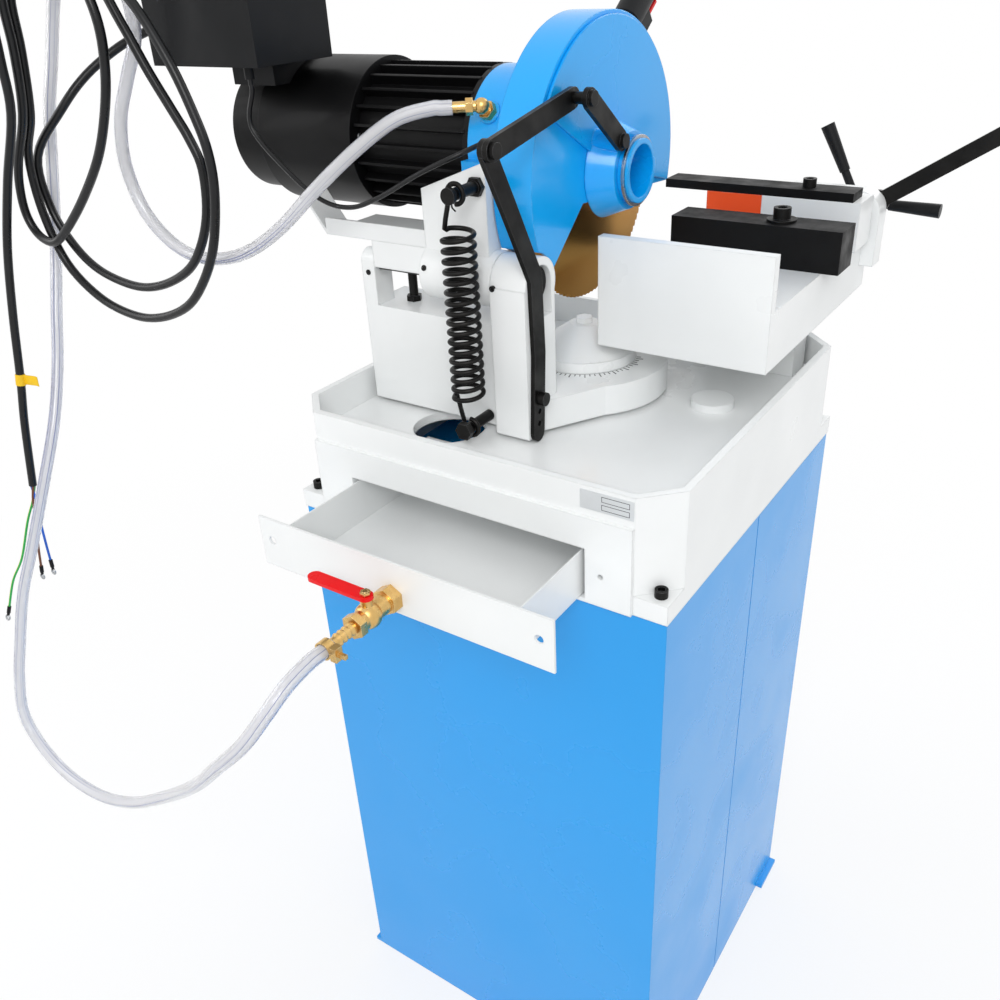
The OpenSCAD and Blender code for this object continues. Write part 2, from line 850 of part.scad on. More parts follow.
module swivel_post() {
  color(steel) {
    translate([blade_x, hub_y, floor_z - floor_sheet])
      cylinder(r = post_radius, h = floor_sheet + seat_height + slide_gap * 2 + arm_plate);
    translate([blade_x, hub_y, floor_z - floor_sheet - seat_height])
      cylinder(r = post_radius * 1.5, h = seat_height);
  }
}

module swivel_cap() {
  z = arm_z + arm_plate + slide_gap;
  color(paint_white) translate([blade_x, hub_y, z]) {
    cylinder(r = cap_radius, h = cap_rim);
    translate([0, 0, cap_rim]) cylinder(r1 = cap_radius * 0.96, r2 = cap_top, h = cap_cone);
    translate([0, 0, cap_rim + cap_cone]) cylinder(r = cap_top * 0.6, h = stop_head_height, $fn = 6);
  }
}

module drawer() {
  w = drawer_width * half;
  z = top_z + drawer_lift;
  back_y = front_y + drawer_length;
  color(paint_white) {
    difference() {
      block([-front_width * half, front_y - front_sheet, top_z + front_sheet],
        [front_width * half, front_y, top_z + front_sheet + front_height]);
      for (s = [-1, 1])
        translate([s * front_hole_reach, front_y - front_sheet - overrun, top_z + front_height * 0.6])
        rod_y(front_hole, front_sheet + 2 * overrun);
      translate([-valve_left, front_y - front_sheet - overrun, valve_z])
        rod_y(neck_radius + run_fit, front_sheet + 2 * overrun);
    }
    difference() {
      block([-w, front_y - front_sheet * half, z], [w, back_y, z + drawer_height]);
      block([-w + drawer_sheet, front_y - front_sheet, z + drawer_sheet],
        [w - drawer_sheet, back_y - drawer_sheet, z + drawer_height + overrun]);
      block([-w - overrun, front_y - front_sheet, z - overrun],
        [w + overrun, front_y - overrun * 0.1, z + drawer_height + overrun]);
    }
  }
}

module drain_valve() {
  y = front_y - front_sheet;
  body_y = y - hex_length - valve_length;
  color(brass) translate([-valve_left, 0, valve_z]) {
    translate([0, y, 0]) rod_y(neck_radius, front_sheet + hex_length * half);
    translate([0, front_y, 0]) rotate([0, 30, 0]) rod_y(neck_radius * 1.5, hex_length * half, 6);
    translate([0, y - hex_length, 0]) rotate([0, 30, 0]) rod_y(hex_radius, hex_length, 6);
    translate([0, body_y, 0]) rod_y(neck_radius * 1.25, valve_length + overrun);
    translate([0, body_y + valve_length * half, 0]) sphere(r = ball_radius);
    translate([0, body_y, 0]) rotate([0, 30, 0]) rod_y(hex_radius * 0.9, hex_length * 0.7, 6);
    translate([0, body_y + valve_length * half, 0]) cylinder(r = stem_radius * 2, h = lever_rise - slide_gap);
    translate([0, body_y + valve_length * half, 0])
      cylinder(r = stem_radius, h = lever_rise + lever_sheet * 2);
    translate([0, body_y + valve_length * half, lever_rise + lever_sheet + slide_gap])
      cylinder(r = stem_radius * 1.7, h = lever_sheet * 0.8, $fn = 6);
    translate([0, hose_y, 0]) rod_y(hose_radius * 0.75, barb_length + overrun);
    for (k = [0:3]) translate([0, barb_y - barb_length * (k + 1) * 0.2, 0])
      rotate([-90, 0, 0]) cylinder(r1 = hose_radius * 0.75, r2 = hose_radius * 0.95, h = barb_length * 0.12);
  }
}

module valve_lever() {
  y = front_y - front_sheet - hex_length - valve_length * half;
  color(red) translate([-valve_left, y, valve_z + lever_rise]) {
    difference() {
      union() {
        cylinder(r = lever_width * half, h = lever_sheet);
        block([-lever_length, -lever_width * half, 0], [0, lever_width * half, lever_sheet]);
        translate([-lever_length, 0, 0]) cylinder(r = lever_width * half, h = lever_sheet);
      }
      translate([0, 0, -overrun]) cylinder(r = stem_radius + run_fit, h = lever_sheet + 2 * overrun);
    }
  }
}

module hose_clamp() {
  color(brass) translate([-valve_left, hose_y - clamp_width * 1.2, valve_z]) {
    difference() {
      rod_y(hose_radius + slide_gap + clamp_band, clamp_width);
      translate([0, -overrun, 0]) rod_y(hose_radius + slide_gap, clamp_width + 2 * overrun);
    }
    block([hose_radius + slide_gap + clamp_band * half, 0, -hose_radius],
      [hose_radius * 2.2, clamp_width, hose_radius]);
    block([hose_radius * 2.2, clamp_width * 0.3, -hose_radius * 0.3],
      [hose_radius * 3.4, clamp_width * 0.7, hose_radius * 0.3]);
  }
}

module vise_bed() {
  z = bed_z - bed_thickness;
  bracket_top = slide_top_z;
  color(paint_white) {
    difference() {
      union() {
        block([bed_left, 0, z], [bed_right_x, bed_length, bed_z]);
        block([bed_left, 0, z], [bed_right_x, wall_sheet, bed_z + wall_rise]);
        block([bed_left + bed_width * 0.3, tray_depth * half - tray_wall - foot_depth - boss_height, floor_z],
          [bed_right_x - foot_depth * 0.65, tray_depth * half - tray_wall - boss_height, z + overrun]);
        block([bed_left + bed_width * half, bracket_y, z],
          [bracket_right - bracket_round, bed_length, bracket_top]);
        block([bed_left + bed_width * half, bracket_y, z + bed_thickness * half],
          [bracket_right, bed_length, bracket_top - bracket_round]);
        translate([bracket_right - bracket_round, bracket_y, bracket_top - bracket_round])
          rod_y(bracket_round, bracket_depth);
      }
      block([slot_right - slot_width * half, wall_sheet, bed_z - slot_depth],
        [slot_right + slot_width * half, bracket_y, bed_z + overrun]);
      block([slot_right - slot_width, wall_sheet, bed_z - slot_depth],
        [slot_right + slot_width, bracket_y, bed_z - slot_depth * half]);
      translate([lead_right, bracket_y - overrun, lead_z])
        rod_y(lead_radius + run_fit, bracket_depth + 2 * overrun);
      translate([clamp_x, bracket_y + bracket_depth * half - slide_gap, clamp_z])
        rod_y(spoke_radius, bracket_depth);
    }
  }
}

module fixed_jaw() {
  right_x = slide_right_x + foot_reach;
  color(black) difference() {
    block([right_x - jaw_length, jaw_ahead, bed_z], [right_x, jaw_ahead + jaw_depth, bed_z + jaw_height]);
    translate([slot_right, jaw_ahead + jaw_depth * half, bed_z - overrun])
      cylinder(r = jaw_screw + run_fit, h = jaw_height + 2 * overrun);
  }
}

module fixed_jaw_screw() {
  z = bed_z + jaw_height;
  color(black) translate([slot_right, jaw_ahead + jaw_depth * half, z]) {
    cylinder(r = jaw_screw * 2.7, h = jaw_screw * half);
    translate([0, 0, jaw_screw * half]) socket_screw(jaw_screw, jaw_height + slot_depth * 0.7);
    translate([0, 0, -jaw_height - slot_depth * 0.75])
      cube([slot_width * 1.8, slot_width * 1.8, slot_depth * 0.42], center = true);
  }
}

module vise_slide() {
  z = bed_z + slide_gap;
  color(paint_white) difference() {
    block([slide_right_x - slide_length, slide_front_y, z], [slide_right_x, slide_back_y, slide_top_z]);
    translate([lead_right, slide_back_y - slide_depth * half, lead_z])
      rod_y(lead_radius + run_fit, slide_depth * half + overrun);
    translate([slot_right, slide_front_y + plate_depth * half, z + slide_height * half])
      cylinder(r = jaw_screw * 0.8 + run_fit, h = slide_height);
  }
}

module moving_jaw() {
  right_x = slide_right_x - foot_reach;
  color(black) difference() {
    block([right_x - plate_length, slide_front_y, slide_top_z],
      [right_x, slide_front_y + plate_depth, slide_top_z + jaw_sheet]);
    translate([slot_right, slide_front_y + plate_depth * half, slide_top_z - overrun])
      cylinder(r = jaw_screw * 0.8 + run_fit, h = jaw_sheet + 2 * overrun);
  }
}

module moving_jaw_screw() {
  color(black) translate([slot_right, slide_front_y + plate_depth * half, slide_top_z + jaw_sheet])
    socket_screw(jaw_screw * 0.8, jaw_sheet + slide_height * 0.4);
}

module jaw_liner() {
  x = slide_right_x - slide_length;
  color(orange) block([x - slide_length * 0.6, slide_front_y, slide_top_z - slide_height * 0.55],
    [x, slide_front_y + liner_sheet, slide_top_z]);
}

module lead_screw() {
  color(steel) {
    translate([lead_right, slide_back_y - slide_depth * half + clear_gap, lead_z])
      rod_y(lead_radius, crank_y - slide_back_y + slide_depth * half - clear_gap);
  }
}

module crank() {
  color(black) translate([lead_right, crank_y, lead_z]) {
    rod_y(lead_radius * 2, lead_radius * 2.5);
    for (a = [-2, 118, 238]) rotate([0, -a, 0]) translate([0, lead_radius * 1.25, 0]) {
      rod_x(spoke_radius, spoke_length * half);
      translate([spoke_length * 0.4, 0, 0]) rotate([0, 90, 0])
        cylinder(r1 = crank_grip * 0.75, r2 = crank_grip, h = spoke_length * 0.6);
    }
  }
}

module clamp_lever() {
  color(black) translate([clamp_x, bed_length + slide_gap, clamp_z]) rotate([0, -clamp_angle, 0]) {
    rod_y(clamp_lever_width * half, clamp_sheet);
    block([0, 0, -clamp_lever_width * 0.35], [clamp_length, clamp_sheet, clamp_lever_width * 0.35]);
    translate([clamp_length, 0, 0]) rod_y(clamp_lever_width * 0.35, clamp_sheet);
    rod_y(spoke_radius, clamp_sheet * 1.4);
    translate([0, -bracket_depth * half, 0]) rod_y(spoke_radius - run_fit, bracket_depth * half);
  }
}

module swivel_arm() {
  plate_z = arm_z + arm_plate;
  block_y = left_front_y + arm_depth;
  recess_z = tilt_z - ear_radius * 1.2;
  color(paint_white) difference() {
    union() {
      translate([blade_x, hub_y, arm_z]) cylinder(r = arm_end, h = arm_plate);
      translate([0, 0, arm_z]) linear_extrude(arm_plate) polygon([
        [arm_left_x, left_front_y], [column_left_x, left_front_y], [column_left_x, right_front_y],
          [arm_right_x, right_front_y],
        [arm_right_x, right_front_y + column_depth * half],
          [blade_x + arm_end * 0.97, hub_y - arm_end * 0.24],
        [blade_x - arm_end * 0.97, hub_y + arm_end * 0.24], [arm_left_x, block_y]]);
      block([arm_left_x, left_front_y, arm_z], [column_left_x + overrun, block_y, top_z + ledge_height]);
      block([arm_left_x, left_front_y, arm_z],
        [arm_left_x + ear_width, left_front_y + left_front * 2, tilt_z]);
      block([column_left_x, right_front_y, arm_z], [arm_right_x, right_front_y + column_depth, tilt_z]);
      translate([arm_left_x, tilt_y, tilt_z]) rod_x(left_front, ear_width);
      translate([column_left_x, tilt_y, tilt_z]) rod_x(ear_radius, column_width);
      translate([blade_x, hub_y + arm_end - overrun, arm_z + arm_plate * half])
        rod_y(arm_plate * 0.4, lock_knob);
    }
    translate([arm_left_x - overrun, tilt_y, tilt_z])
      rod_x(shaft_radius + run_fit, arm_left + column_offset + 2 * overrun);
    translate([blade_x, hub_y, arm_z - overrun])
      cylinder(r = post_radius + run_fit, h = arm_plate + 2 * overrun);
    translate([arm_right_x - recess_depth, tilt_y, tilt_z])
      rod_x(disc_radius + clear_gap, recess_depth + overrun);
    block([arm_right_x - recess_depth, tilt_y - disc_radius - clear_gap, recess_z],
      [arm_right_x + overrun, tilt_y + disc_radius + clear_gap, tilt_z]);
    translate([blade_x - stop_left, tilt_y + stop_ahead, top_z + ledge_height - stop_radius * 4])
      cylinder(r = stop_radius + run_fit, h = ledge_height);
    translate([spring_x, left_front_y - overrun, top_z + spring_low])
      rod_y(pin_radius + run_fit, arm_plate * half + overrun);
    translate([arm_right_x - strap_width, strap_bolt[0], strap_bolt[1]])
      rod_x(screw_radius + run_fit, strap_width + overrun);
    translate([blade_x, hub_y + arm_end * 0.8, arm_z + arm_plate * half])
      rod_y(lock_radius + run_fit, arm_end);
  }
}

module pivot_shaft() {
  color(black) {
    translate([arm_left_x, tilt_y, tilt_z]) rod_x(shaft_radius, arm_left + column_offset - recess_depth);
    translate([arm_right_x - recess_depth, tilt_y, tilt_z]) rod_x(disc_radius, recess_depth * half);
  }
}

module stop_screw() {
  z = tilt_z - lug_drop - slide_gap;
  base_z = top_z + ledge_height;
  color(black) translate([blade_x - stop_left, tilt_y + stop_ahead, 0]) {
    translate([0, 0, base_z - stop_radius * 3]) cylinder(r = stop_radius, h = z - base_z + stop_radius * 3);
    translate([0, 0, base_z]) cylinder(r = stop_head * 1.1, h = stop_head_height, $fn = 6);
    translate([0, 0, z - stop_head_height]) cylinder(r = stop_head, h = stop_head_height, $fn = 6);
  }
}

// Guard strap route in Y and Z, and its bolt
strap_pin = guard_point(link_pin_share);
strap_low = [right_front_y + strap_width * 0.62, arm_z + strap_width * 0.3];
strap_mid = [tilt_y - strap_width * 0.6, tilt_z - strap_width * 3.4];
strap_bend = [tilt_y - strap_width * 0.75, tilt_z + strap_width * 0.6];
strap_high = strap_bend + (strap_pin - strap_bend) * 0.52 + [-strap_width * 0.12, strap_width * 0.28];
strap_bolt = strap_low + (strap_mid - strap_low) * 0.45;

module arm_bolts() {
  color(black) {
    translate([spring_x, spring_y - wire_radius * 3, top_z + spring_low])
      rod_y(pin_radius, left_front_y - spring_y + wire_radius * 3 + arm_plate * 0.4);
    translate([spring_x, spring_y - wire_radius * 6, top_z + spring_low]) rod_y(pin_head, wire_radius * 3, 6);
    translate([arm_right_x - strap_width * 0.8, strap_bolt[0], strap_bolt[1]])
      rod_x(screw_radius, strap_width * 0.8 + strap_sheet + overrun);
    translate([arm_right_x + strap_sheet, strap_bolt[0], strap_bolt[1]])
      rod_x(screw_radius * 1.8, screw_radius * 2);
  }
}

module guard_strap() {
  color(black) {
    difference() {
      push_x(strap_x, strap_sheet)
        strap_outline([strap_low, strap_mid, strap_bend, strap_high, strap_pin], strap_width);
      translate([strap_x - overrun, strap_bolt[0], strap_bolt[1]])
        rod_x(screw_radius + run_fit, strap_sheet + 2 * overrun);
      for (k = [0.12, 0.28])
        translate([strap_x - overrun, strap_low[0] + (strap_mid[0] - strap_low[0]) * k,
        strap_low[1] + (strap_mid[1] - strap_low[1]) * k])
        rod_x(screw_radius * 0.8, strap_sheet + 2 * overrun);
    }
    translate([strap_x + strap_sheet - overrun, strap_pin[0], strap_pin[1]])
      rod_x(screw_radius, strap_sheet + 2 * slide_gap + overrun);
    translate([link_x + strap_sheet + slide_gap, strap_pin[0], strap_pin[1]])
      rod_x(screw_radius * 1.8, screw_radius);
  }
}

module swivel_lock() {
  y = hub_y + arm_end + lock_knob;
  color(black) translate([blade_x, y, arm_z + arm_plate * half]) {
    translate([0, -lock_knob * 2, 0]) rod_y(lock_radius, lock_knob * 2);
    rod_y(lock_radius * 2, lock_radius * 2.4);
    translate([0, lock_radius * 1.2, 0]) cylinder(r = lock_radius, h = lock_length);
    translate([0, lock_radius * 1.2, lock_length]) sphere(r = lock_knob);
  }
}

module rocker() {
  up_z = tilt_z + upright_height;
  color(paint_white) difference() {
    union() {
      translate([rocker_left_x, tilt_y, tilt_z]) rod_x(barrel_radius, barrel_width);
      push_y(left_front_y, upright_sheet) polygon([
        [rocker_left_x, tilt_z], [rocker_left_x, up_z - upright_height * 0.26],
        [rocker_right_x - barrel_width * 0.1, up_z], [rocker_right_x - barrel_width * 0.1, tilt_z + lug_rise],
        [rocker_right_x, tilt_z]]);
      block([lug_left_x, left_front_y, tilt_z - lug_drop],
        [rocker_left_x + overrun, left_front_y + lug_depth, tilt_z + lug_rise]);
    }
    translate([lug_left_x - overrun, tilt_y, tilt_z]) rod_x(shaft_radius + run_fit, arm_left);
    translate([spring_x, left_front_y - overrun, top_z + spring_high])
      rod_y(pin_radius + run_fit, upright_sheet * 0.7 + overrun);
  }
}

module spring_pin() {
  color(black) translate([spring_x, 0, top_z + spring_high]) {
    translate([0, spring_y - wire_radius * 3, 0])
      rod_y(pin_radius, left_front_y - spring_y + wire_radius * 3 + upright_sheet * 0.6);
    translate([0, spring_y - wire_radius * 5, 0]) rod_y(pin_head * 0.8, wire_radius * 2);
    translate([0, left_front_y - wire_radius * 2, 0]) rod_y(pin_head, wire_radius * 2, 6);
  }
}

// Spring path: lower eye, curls, upper eye
coil_radius = spring_radius - wire_radius;
eye_radius = pin_radius + wire_radius + slide_gap;
coil_height = curl_count * curl_pitch;
coil_low = top_z + (spring_low + spring_high) * half - coil_height * half;
function eye(z, from, to, count) = [for (k = [0:count]) let (a = from + (to - from) * k / count)
  [spring_x + eye_radius * cos(a), spring_y, z + eye_radius * sin(a)]];
spring_path = concat(
  eye(top_z + spring_low, 450, 150, 12),
  [[spring_x - eye_radius * 1.15, spring_y, top_z + spring_low + eye_radius * 1.6]],
  [for (k = [0:curl_count * 8]) [spring_x - coil_radius * cos(45 * k), spring_y - coil_radius * sin(45 * k),
    coil_low + curl_pitch * k / 8]],
  [[spring_x - eye_radius * 1.15, spring_y, top_z + spring_high - eye_radius * 1.6]],
  eye(top_z + spring_high, 210, -90, 12));
spring_gap = min([for (i = [0:len(spring_path) - 1]) for (j = [i + 6:1:len(spring_path) - 1])
  norm(spring_path[i] - spring_path[j])]) - 2 * wire_radius;
echo(spring_gap = spring_gap);

module return_spring() {
  color(black) tube(spring_path, wire_radius, 6);
}

module motor_shelf() {
  z = tilt_z + lug_rise;
  right_x = rocker_left_x;
  left_x = right_x - shelf_length;
  color(paint_white) {
    block([left_x, left_front_y, z], [right_x, left_front_y + shelf_depth, z + shelf_sheet]);
    push_y(left_front_y, shelf_end) polygon([
      [left_x + shelf_sheet, z], [left_x + shelf_sheet, z + shelf_sheet],
        [left_x + shelf_sheet * half, z + shelf_sheet],
      [left_x - shelf_reach + shelf_sheet, z + shelf_rise], [left_x - shelf_reach, z + shelf_rise],
        [left_x, z]]);
    block([left_x, left_front_y, z], [right_x, left_front_y + shelf_sheet, z + shelf_lip]);
  }
}

// Outline of the fixed guard
module guard_outline(inset) {
  difference() {
    translate([spin_y, spin_z]) circle(r = guard_radius - inset, $fn = 128);
    polygon([for (s = guard_edge_shares) guard_point(s)]);
    pivot_room();
  }
}

// Room round the head pivot
module pivot_room() {
  room = max(ear_radius, barrel_radius) + clear_gap;
  translate([tilt_y, tilt_z]) circle(r = room);
  translate([tilt_y - room, tilt_z - guard_radius]) square([2 * room, guard_radius]);
}

// Outline of the gear case round the two shafts
module case_outline(inset) {
  rs = case_radius - inset;
  rm = case_motor_radius - inset;
  n = [sin(drive_angle), cos(drive_angle)];
  translate([spin_y, spin_z]) circle(r = rs);
  translate([motor_y, motor_z]) circle(r = rm);
  polygon([[motor_y, motor_z] + n * rm, [spin_y, spin_z] + n * rs, [spin_y, spin_z] - n * rs,
    [motor_y, motor_z] - n * rm]);
}

handle_start = [blade_x - guard_width, spin_y + case_radius * half, spin_z + case_radius * half];
handle_angle = 36;

module head_case() {
  pad_x = [case_left_x, guard_left_x];
  color(paint_blue) difference() {
    union() {
      push_x(guard_left_x, guard_width) guard_outline(0);
      push_x(case_left_x, case_width + overrun) case_outline(0);
      translate([guard_right_x - overrun, spin_y, spin_z])
        rod_x(hub_radius, blade_x + hub_reach - guard_right_x + overrun);
      block([case_left_x, upright_y, tilt_z + upright_height * 0.35],
        [guard_left_x, motor_y - case_motor_radius * half, tilt_z + upright_height * 0.95]);
      translate(handle_start) rotate([handle_angle, 0, 0]) rod_y(handle_radius * 1.7, handle_radius * 5);
      translate(fitting) rotate([fitting_angle, 0, 0]) translate([0, 0, -hose_radius * 3])
        cylinder(r = hose_radius * 1.6, h = hose_radius * 3);
    }
    push_x(guard_left_x + guard_wall, guard_width - 2 * guard_wall) union() {
      intersection() {
        translate([spin_y, spin_z]) circle(r = guard_radius - guard_wall, $fn = 128);
        guard_outline(-overrun);
      }
      polygon([for (s = guard_edge_shares) guard_point(s)]);
    }
    push_x(case_left_x + case_wall, case_width - case_wall - guard_wall) case_outline(case_wall);
    translate([blade_x, spin_y, spin_z]) rod_x(hub_bore, hub_reach + overrun);
    translate([case_left_x - overrun, motor_y, motor_z]) rod_x(rotor_radius, case_wall + 2 * overrun);
    translate([case_left_x + case_wall * 0.3, spin_y, spin_z])
      rod_x(bearing_radius + run_fit, guard_left_x + guard_wall - case_left_x);
    translate(handle_start) rotate([handle_angle, 0, 0]) translate([0, handle_radius * 2, 0])
      rod_y(handle_radius + run_fit, handle_radius * 4);
    translate(fitting) rotate([fitting_angle, 0, 0]) translate([0, 0, -hose_radius * 2 - slide_gap])
      cylinder(r = hose_radius * 0.7 + run_fit, h = hose_radius * 4);
  }
}

module retaining_ring() {
  color(steel) translate([blade_x + hub_reach - ring_width * 2, spin_y, spin_z]) difference() {
    rod_x(hub_radius + ring_size, ring_width);
    translate([-overrun, 0, 0]) rod_x(hub_radius + run_fit, ring_width + 2 * overrun);
  }
}

module spindle_bearings() {
  bearing = case_wall + guard_wall - clear_gap;
  color(steel) for (x = [case_left_x + case_wall * 0.3, guard_left_x + guard_wall - bearing])
    translate([x, spin_y, spin_z]) difference() {
    rod_x(bearing_radius, bearing);
    translate([-overrun, 0, 0]) rod_x(spindle_radius + run_fit, bearing + 2 * overrun);
  }
}

// Coolant fitting on the upper back of the gear case
fitting_angle = 60;
barb_turn = 215;
fitting = [case_left_x + case_width * half, motor_y - (case_motor_radius + clear_gap) * sin(fitting_angle),
  motor_z + (case_motor_radius + clear_gap) * cos(fitting_angle)];
elbow = fitting + hose_radius * 2 * [0, -sin(fitting_angle), cos(fitting_angle)];

module coolant_fitting() {
  color(brass) {
    translate(fitting) rotate([fitting_angle, 0, 0]) {
      translate([0, 0, -hose_radius * 2]) cylinder(r = hose_radius * 0.7, h = hose_radius * 3);
      cylinder(r = hose_radius * 1.3, h = hose_radius, $fn = 6);
      cylinder(r = hose_radius * 0.8, h = hose_radius * 2);
    }
    translate(elbow) sphere(r = hose_radius * 1.1);
    translate(elbow) rotate([0, 0, barb_turn]) rod_x(hose_radius * 0.75, hose_radius * 4);
    translate(elbow) rotate([0, 0, barb_turn]) translate([hose_radius * 1.2, 0, 0])
      rod_x(hose_radius * 1.15, hose_radius, 6);
  }
}

module head_handle() {
  color(steel) translate(handle_start) rotate([handle_angle, 0, 0]) translate([0, handle_radius * 2, 0])
    rod_y(handle_radius, handle_length);
}

// Place on the handle, measured along it
module on_handle(along) {
  translate(handle_start) rotate([handle_angle, 0, 0]) translate([0, along, 0]) children();
}

grip_start = handle_radius * 2 + handle_length - grip_length;
trigger_along = grip_length * 0.24;
trigger_drop = grip_radius * 1.45;
trigger_pin = grip_radius * 0.13;

module handle_grip() {
  color(black) on_handle(grip_start) difference() {
    union() {
      rod_y(grip_radius, grip_length + grip_radius * half);
      block([-grip_radius * 0.65, grip_length * 0.08, -grip_radius * 1.75],
        [grip_radius * 0.65, grip_length * 0.3, 0]);
    }
    translate([0, -overrun, 0]) rod_y(handle_radius + run_fit, grip_length + overrun);
    block([-grip_radius * 0.35, grip_length * 0.15, -grip_radius * 2],
      [grip_radius * 0.35, grip_length * 0.35, -handle_radius - clear_gap]);
    translate([-grip_radius * 0.6, trigger_along, -trigger_drop])
      rod_x(trigger_pin + run_fit, grip_radius * 1.2);
  }
}

module trigger() {
  color(red) on_handle(grip_start) translate([0, trigger_along, -trigger_drop]) {
    translate([-grip_radius * 0.55, 0, 0]) rod_x(trigger_pin, grip_radius * 1.1);
    block([-grip_radius * 0.3, -grip_radius * 0.2, -grip_radius * 0.2],
      [grip_radius * 0.3, grip_length * 0.3, 0]);
  }
}

// Toothed wheel outline
module wheel_outline(teeth, start) {
  pitch = gear_module * teeth * half;
  root = pitch - gear_module * 1.2;
  tip = pitch + gear_module * 0.75;
  step = 360 / teeth;
  polygon([for (k = [0:teeth - 1]) for (c = [[-0.27, root], [-0.12, tip], [0.12, tip], [0.27, root]])
    let (a = start + (k + c[0]) * step) [c[1] * cos(a), c[1] * sin(a)]]);
}

module spindle() {
  gear_x = case_left_x + case_wall + guard_wall + clear_gap;
  nose = blade_x - blade_sheet * half;
  color(steel) {
    translate([case_left_x + case_wall * 0.5, spin_y, spin_z])
      rod_x(spindle_radius, nose - case_left_x - case_wall * 0.5);
    translate([nose - guard_wall * 1.5, spin_y, spin_z]) rod_x(flange_radius, guard_wall * 1.5);
    translate([nose - overrun, spin_y, spin_z])
      rod_x(blade_bore - run_fit, blade_sheet + flange_sheet * half + overrun);
    for (s = [-1, 1]) translate([nose - overrun, spin_y + s * drive_circle, spin_z])
      rod_x(drive_pin - run_fit, blade_sheet + flange_sheet * half + overrun);
    push_x(gear_x, gear_width) translate([spin_y, spin_z])
      wheel_outline(gear_teeth, 180 - drive_angle + 180 / gear_teeth);
  }
}

module saw_blade() {
  step = 360 / tooth_count;
  color(gold) difference() {
    push_x(blade_x - blade_sheet * half, blade_sheet) translate([spin_y, spin_z])
      polygon([for (k = [0:tooth_count - 1])
      for (c = [[0, 0], [0.55, tooth_depth * 0.35], [0.8, tooth_depth]])
        let (a = (k + c[0]) * step, r = blade_radius - c[1]) [r * cos(a), r * sin(a)]]);
    translate([blade_x - blade_sheet, spin_y, spin_z]) rod_x(blade_bore, blade_sheet * 2);
    for (s = [-1, 1]) translate([blade_x - blade_sheet, spin_y + s * drive_circle, spin_z])
      rod_x(drive_pin, blade_sheet * 2);
  }
}

module blade_flange() {
  x = blade_x + blade_sheet * half;
  color(steel) {
    difference() {
      translate([x, spin_y, spin_z]) rod_x(flange_radius, flange_sheet);
      translate([x - overrun, spin_y, spin_z]) rod_x(blade_bore, flange_sheet * half + overrun);
      for (s = [-1, 1]) translate([x - overrun, spin_y + s * drive_circle, spin_z])
        rod_x(drive_pin, flange_sheet * half + overrun);
    }
    translate([x + flange_sheet, spin_y, spin_z]) rod_x(bolt_head, bolt_head * 0.8, 6);
  }
}

module motor_body() {
  color(black) translate([motor_left_x, motor_y, motor_z]) difference() {
    union() {
      translate([-cowl_lap, 0, 0]) rod_x(motor_radius, motor_length + cowl_lap);
      translate([motor_length - case_wall, 0, 0]) rod_x(case_motor_radius, case_wall);
      for (k = [0:fin_count - 1]) rotate([360 * k / fin_count, 0, 0])
        translate([clear_gap, -fin_sheet * half, motor_radius - overrun])
          cube([motor_length - case_wall, fin_sheet, fin_height + overrun]);
    }
    translate([case_wall, 0, 0]) rod_x(rotor_radius + clear_gap, motor_length - 2 * case_wall);
    translate([-cowl_lap - overrun, 0, 0])
      rod_x(rotor_shaft + run_fit, motor_length + cowl_lap + 2 * overrun);
  }
}

module fan_cowl() {
  end = cowl_end;
  color(black) translate([cowl_left_x, motor_y, motor_z]) difference() {
    union() {
      rod_x(cowl_end_radius, end + overrun);
      translate([end, 0, 0]) rod_x(cowl_radius, cowl_length - end);
    }
    translate([cowl_sheet, 0, 0]) rod_x(cowl_end_radius - cowl_sheet, cowl_length - 2 * cowl_sheet);
    translate([end, 0, 0]) rod_x(motor_radius + run_fit, cowl_length);
    translate([end + cowl_sheet, 0, 0]) rod_x(cowl_radius - cowl_sheet, cowl_length - end - 2 * cowl_sheet);
    for (k = [0:11]) rotate([30 * k, 0, 0]) translate([-overrun, -fin_sheet, cowl_end_radius * 0.3])
      cube([cowl_sheet + 2 * overrun, fin_sheet * 2, cowl_end_radius * half]);
  }
}

module rotor() {
  gear_x = case_left_x + case_wall + guard_wall + clear_gap;
  fan_x = cowl_left_x + cowl_end * half;
  color(steel) translate([0, motor_y, motor_z]) {
    translate([fan_x, 0, 0]) rod_x(rotor_shaft, gear_x + gear_width - fan_x);
    translate([motor_left_x + motor_length * 0.15, 0, 0]) rod_x(rotor_radius, motor_length * 0.7);
  }
  color(steel) push_x(gear_x, gear_width) translate([motor_y, motor_z])
    wheel_outline(pinion_teeth, -drive_angle);
}

module cooling_fan() {
  x = cowl_left_x + cowl_end + cowl_sheet * 3;
  color(black) translate([x, motor_y, motor_z]) difference() {
    union() {
      rod_x(rotor_shaft * 2, cowl_end * 0.6);
      for (k = [0:6]) rotate([360 * k / 7, 0, 0])
        translate([cowl_end * 0.05, -fin_sheet * half, rotor_shaft * 1.5])
        cube([cowl_end * half, fin_sheet, cowl_end_radius * 0.65]);
    }
    translate([-overrun, 0, 0]) rod_x(rotor_shaft + run_fit, cowl_end);
  }
}

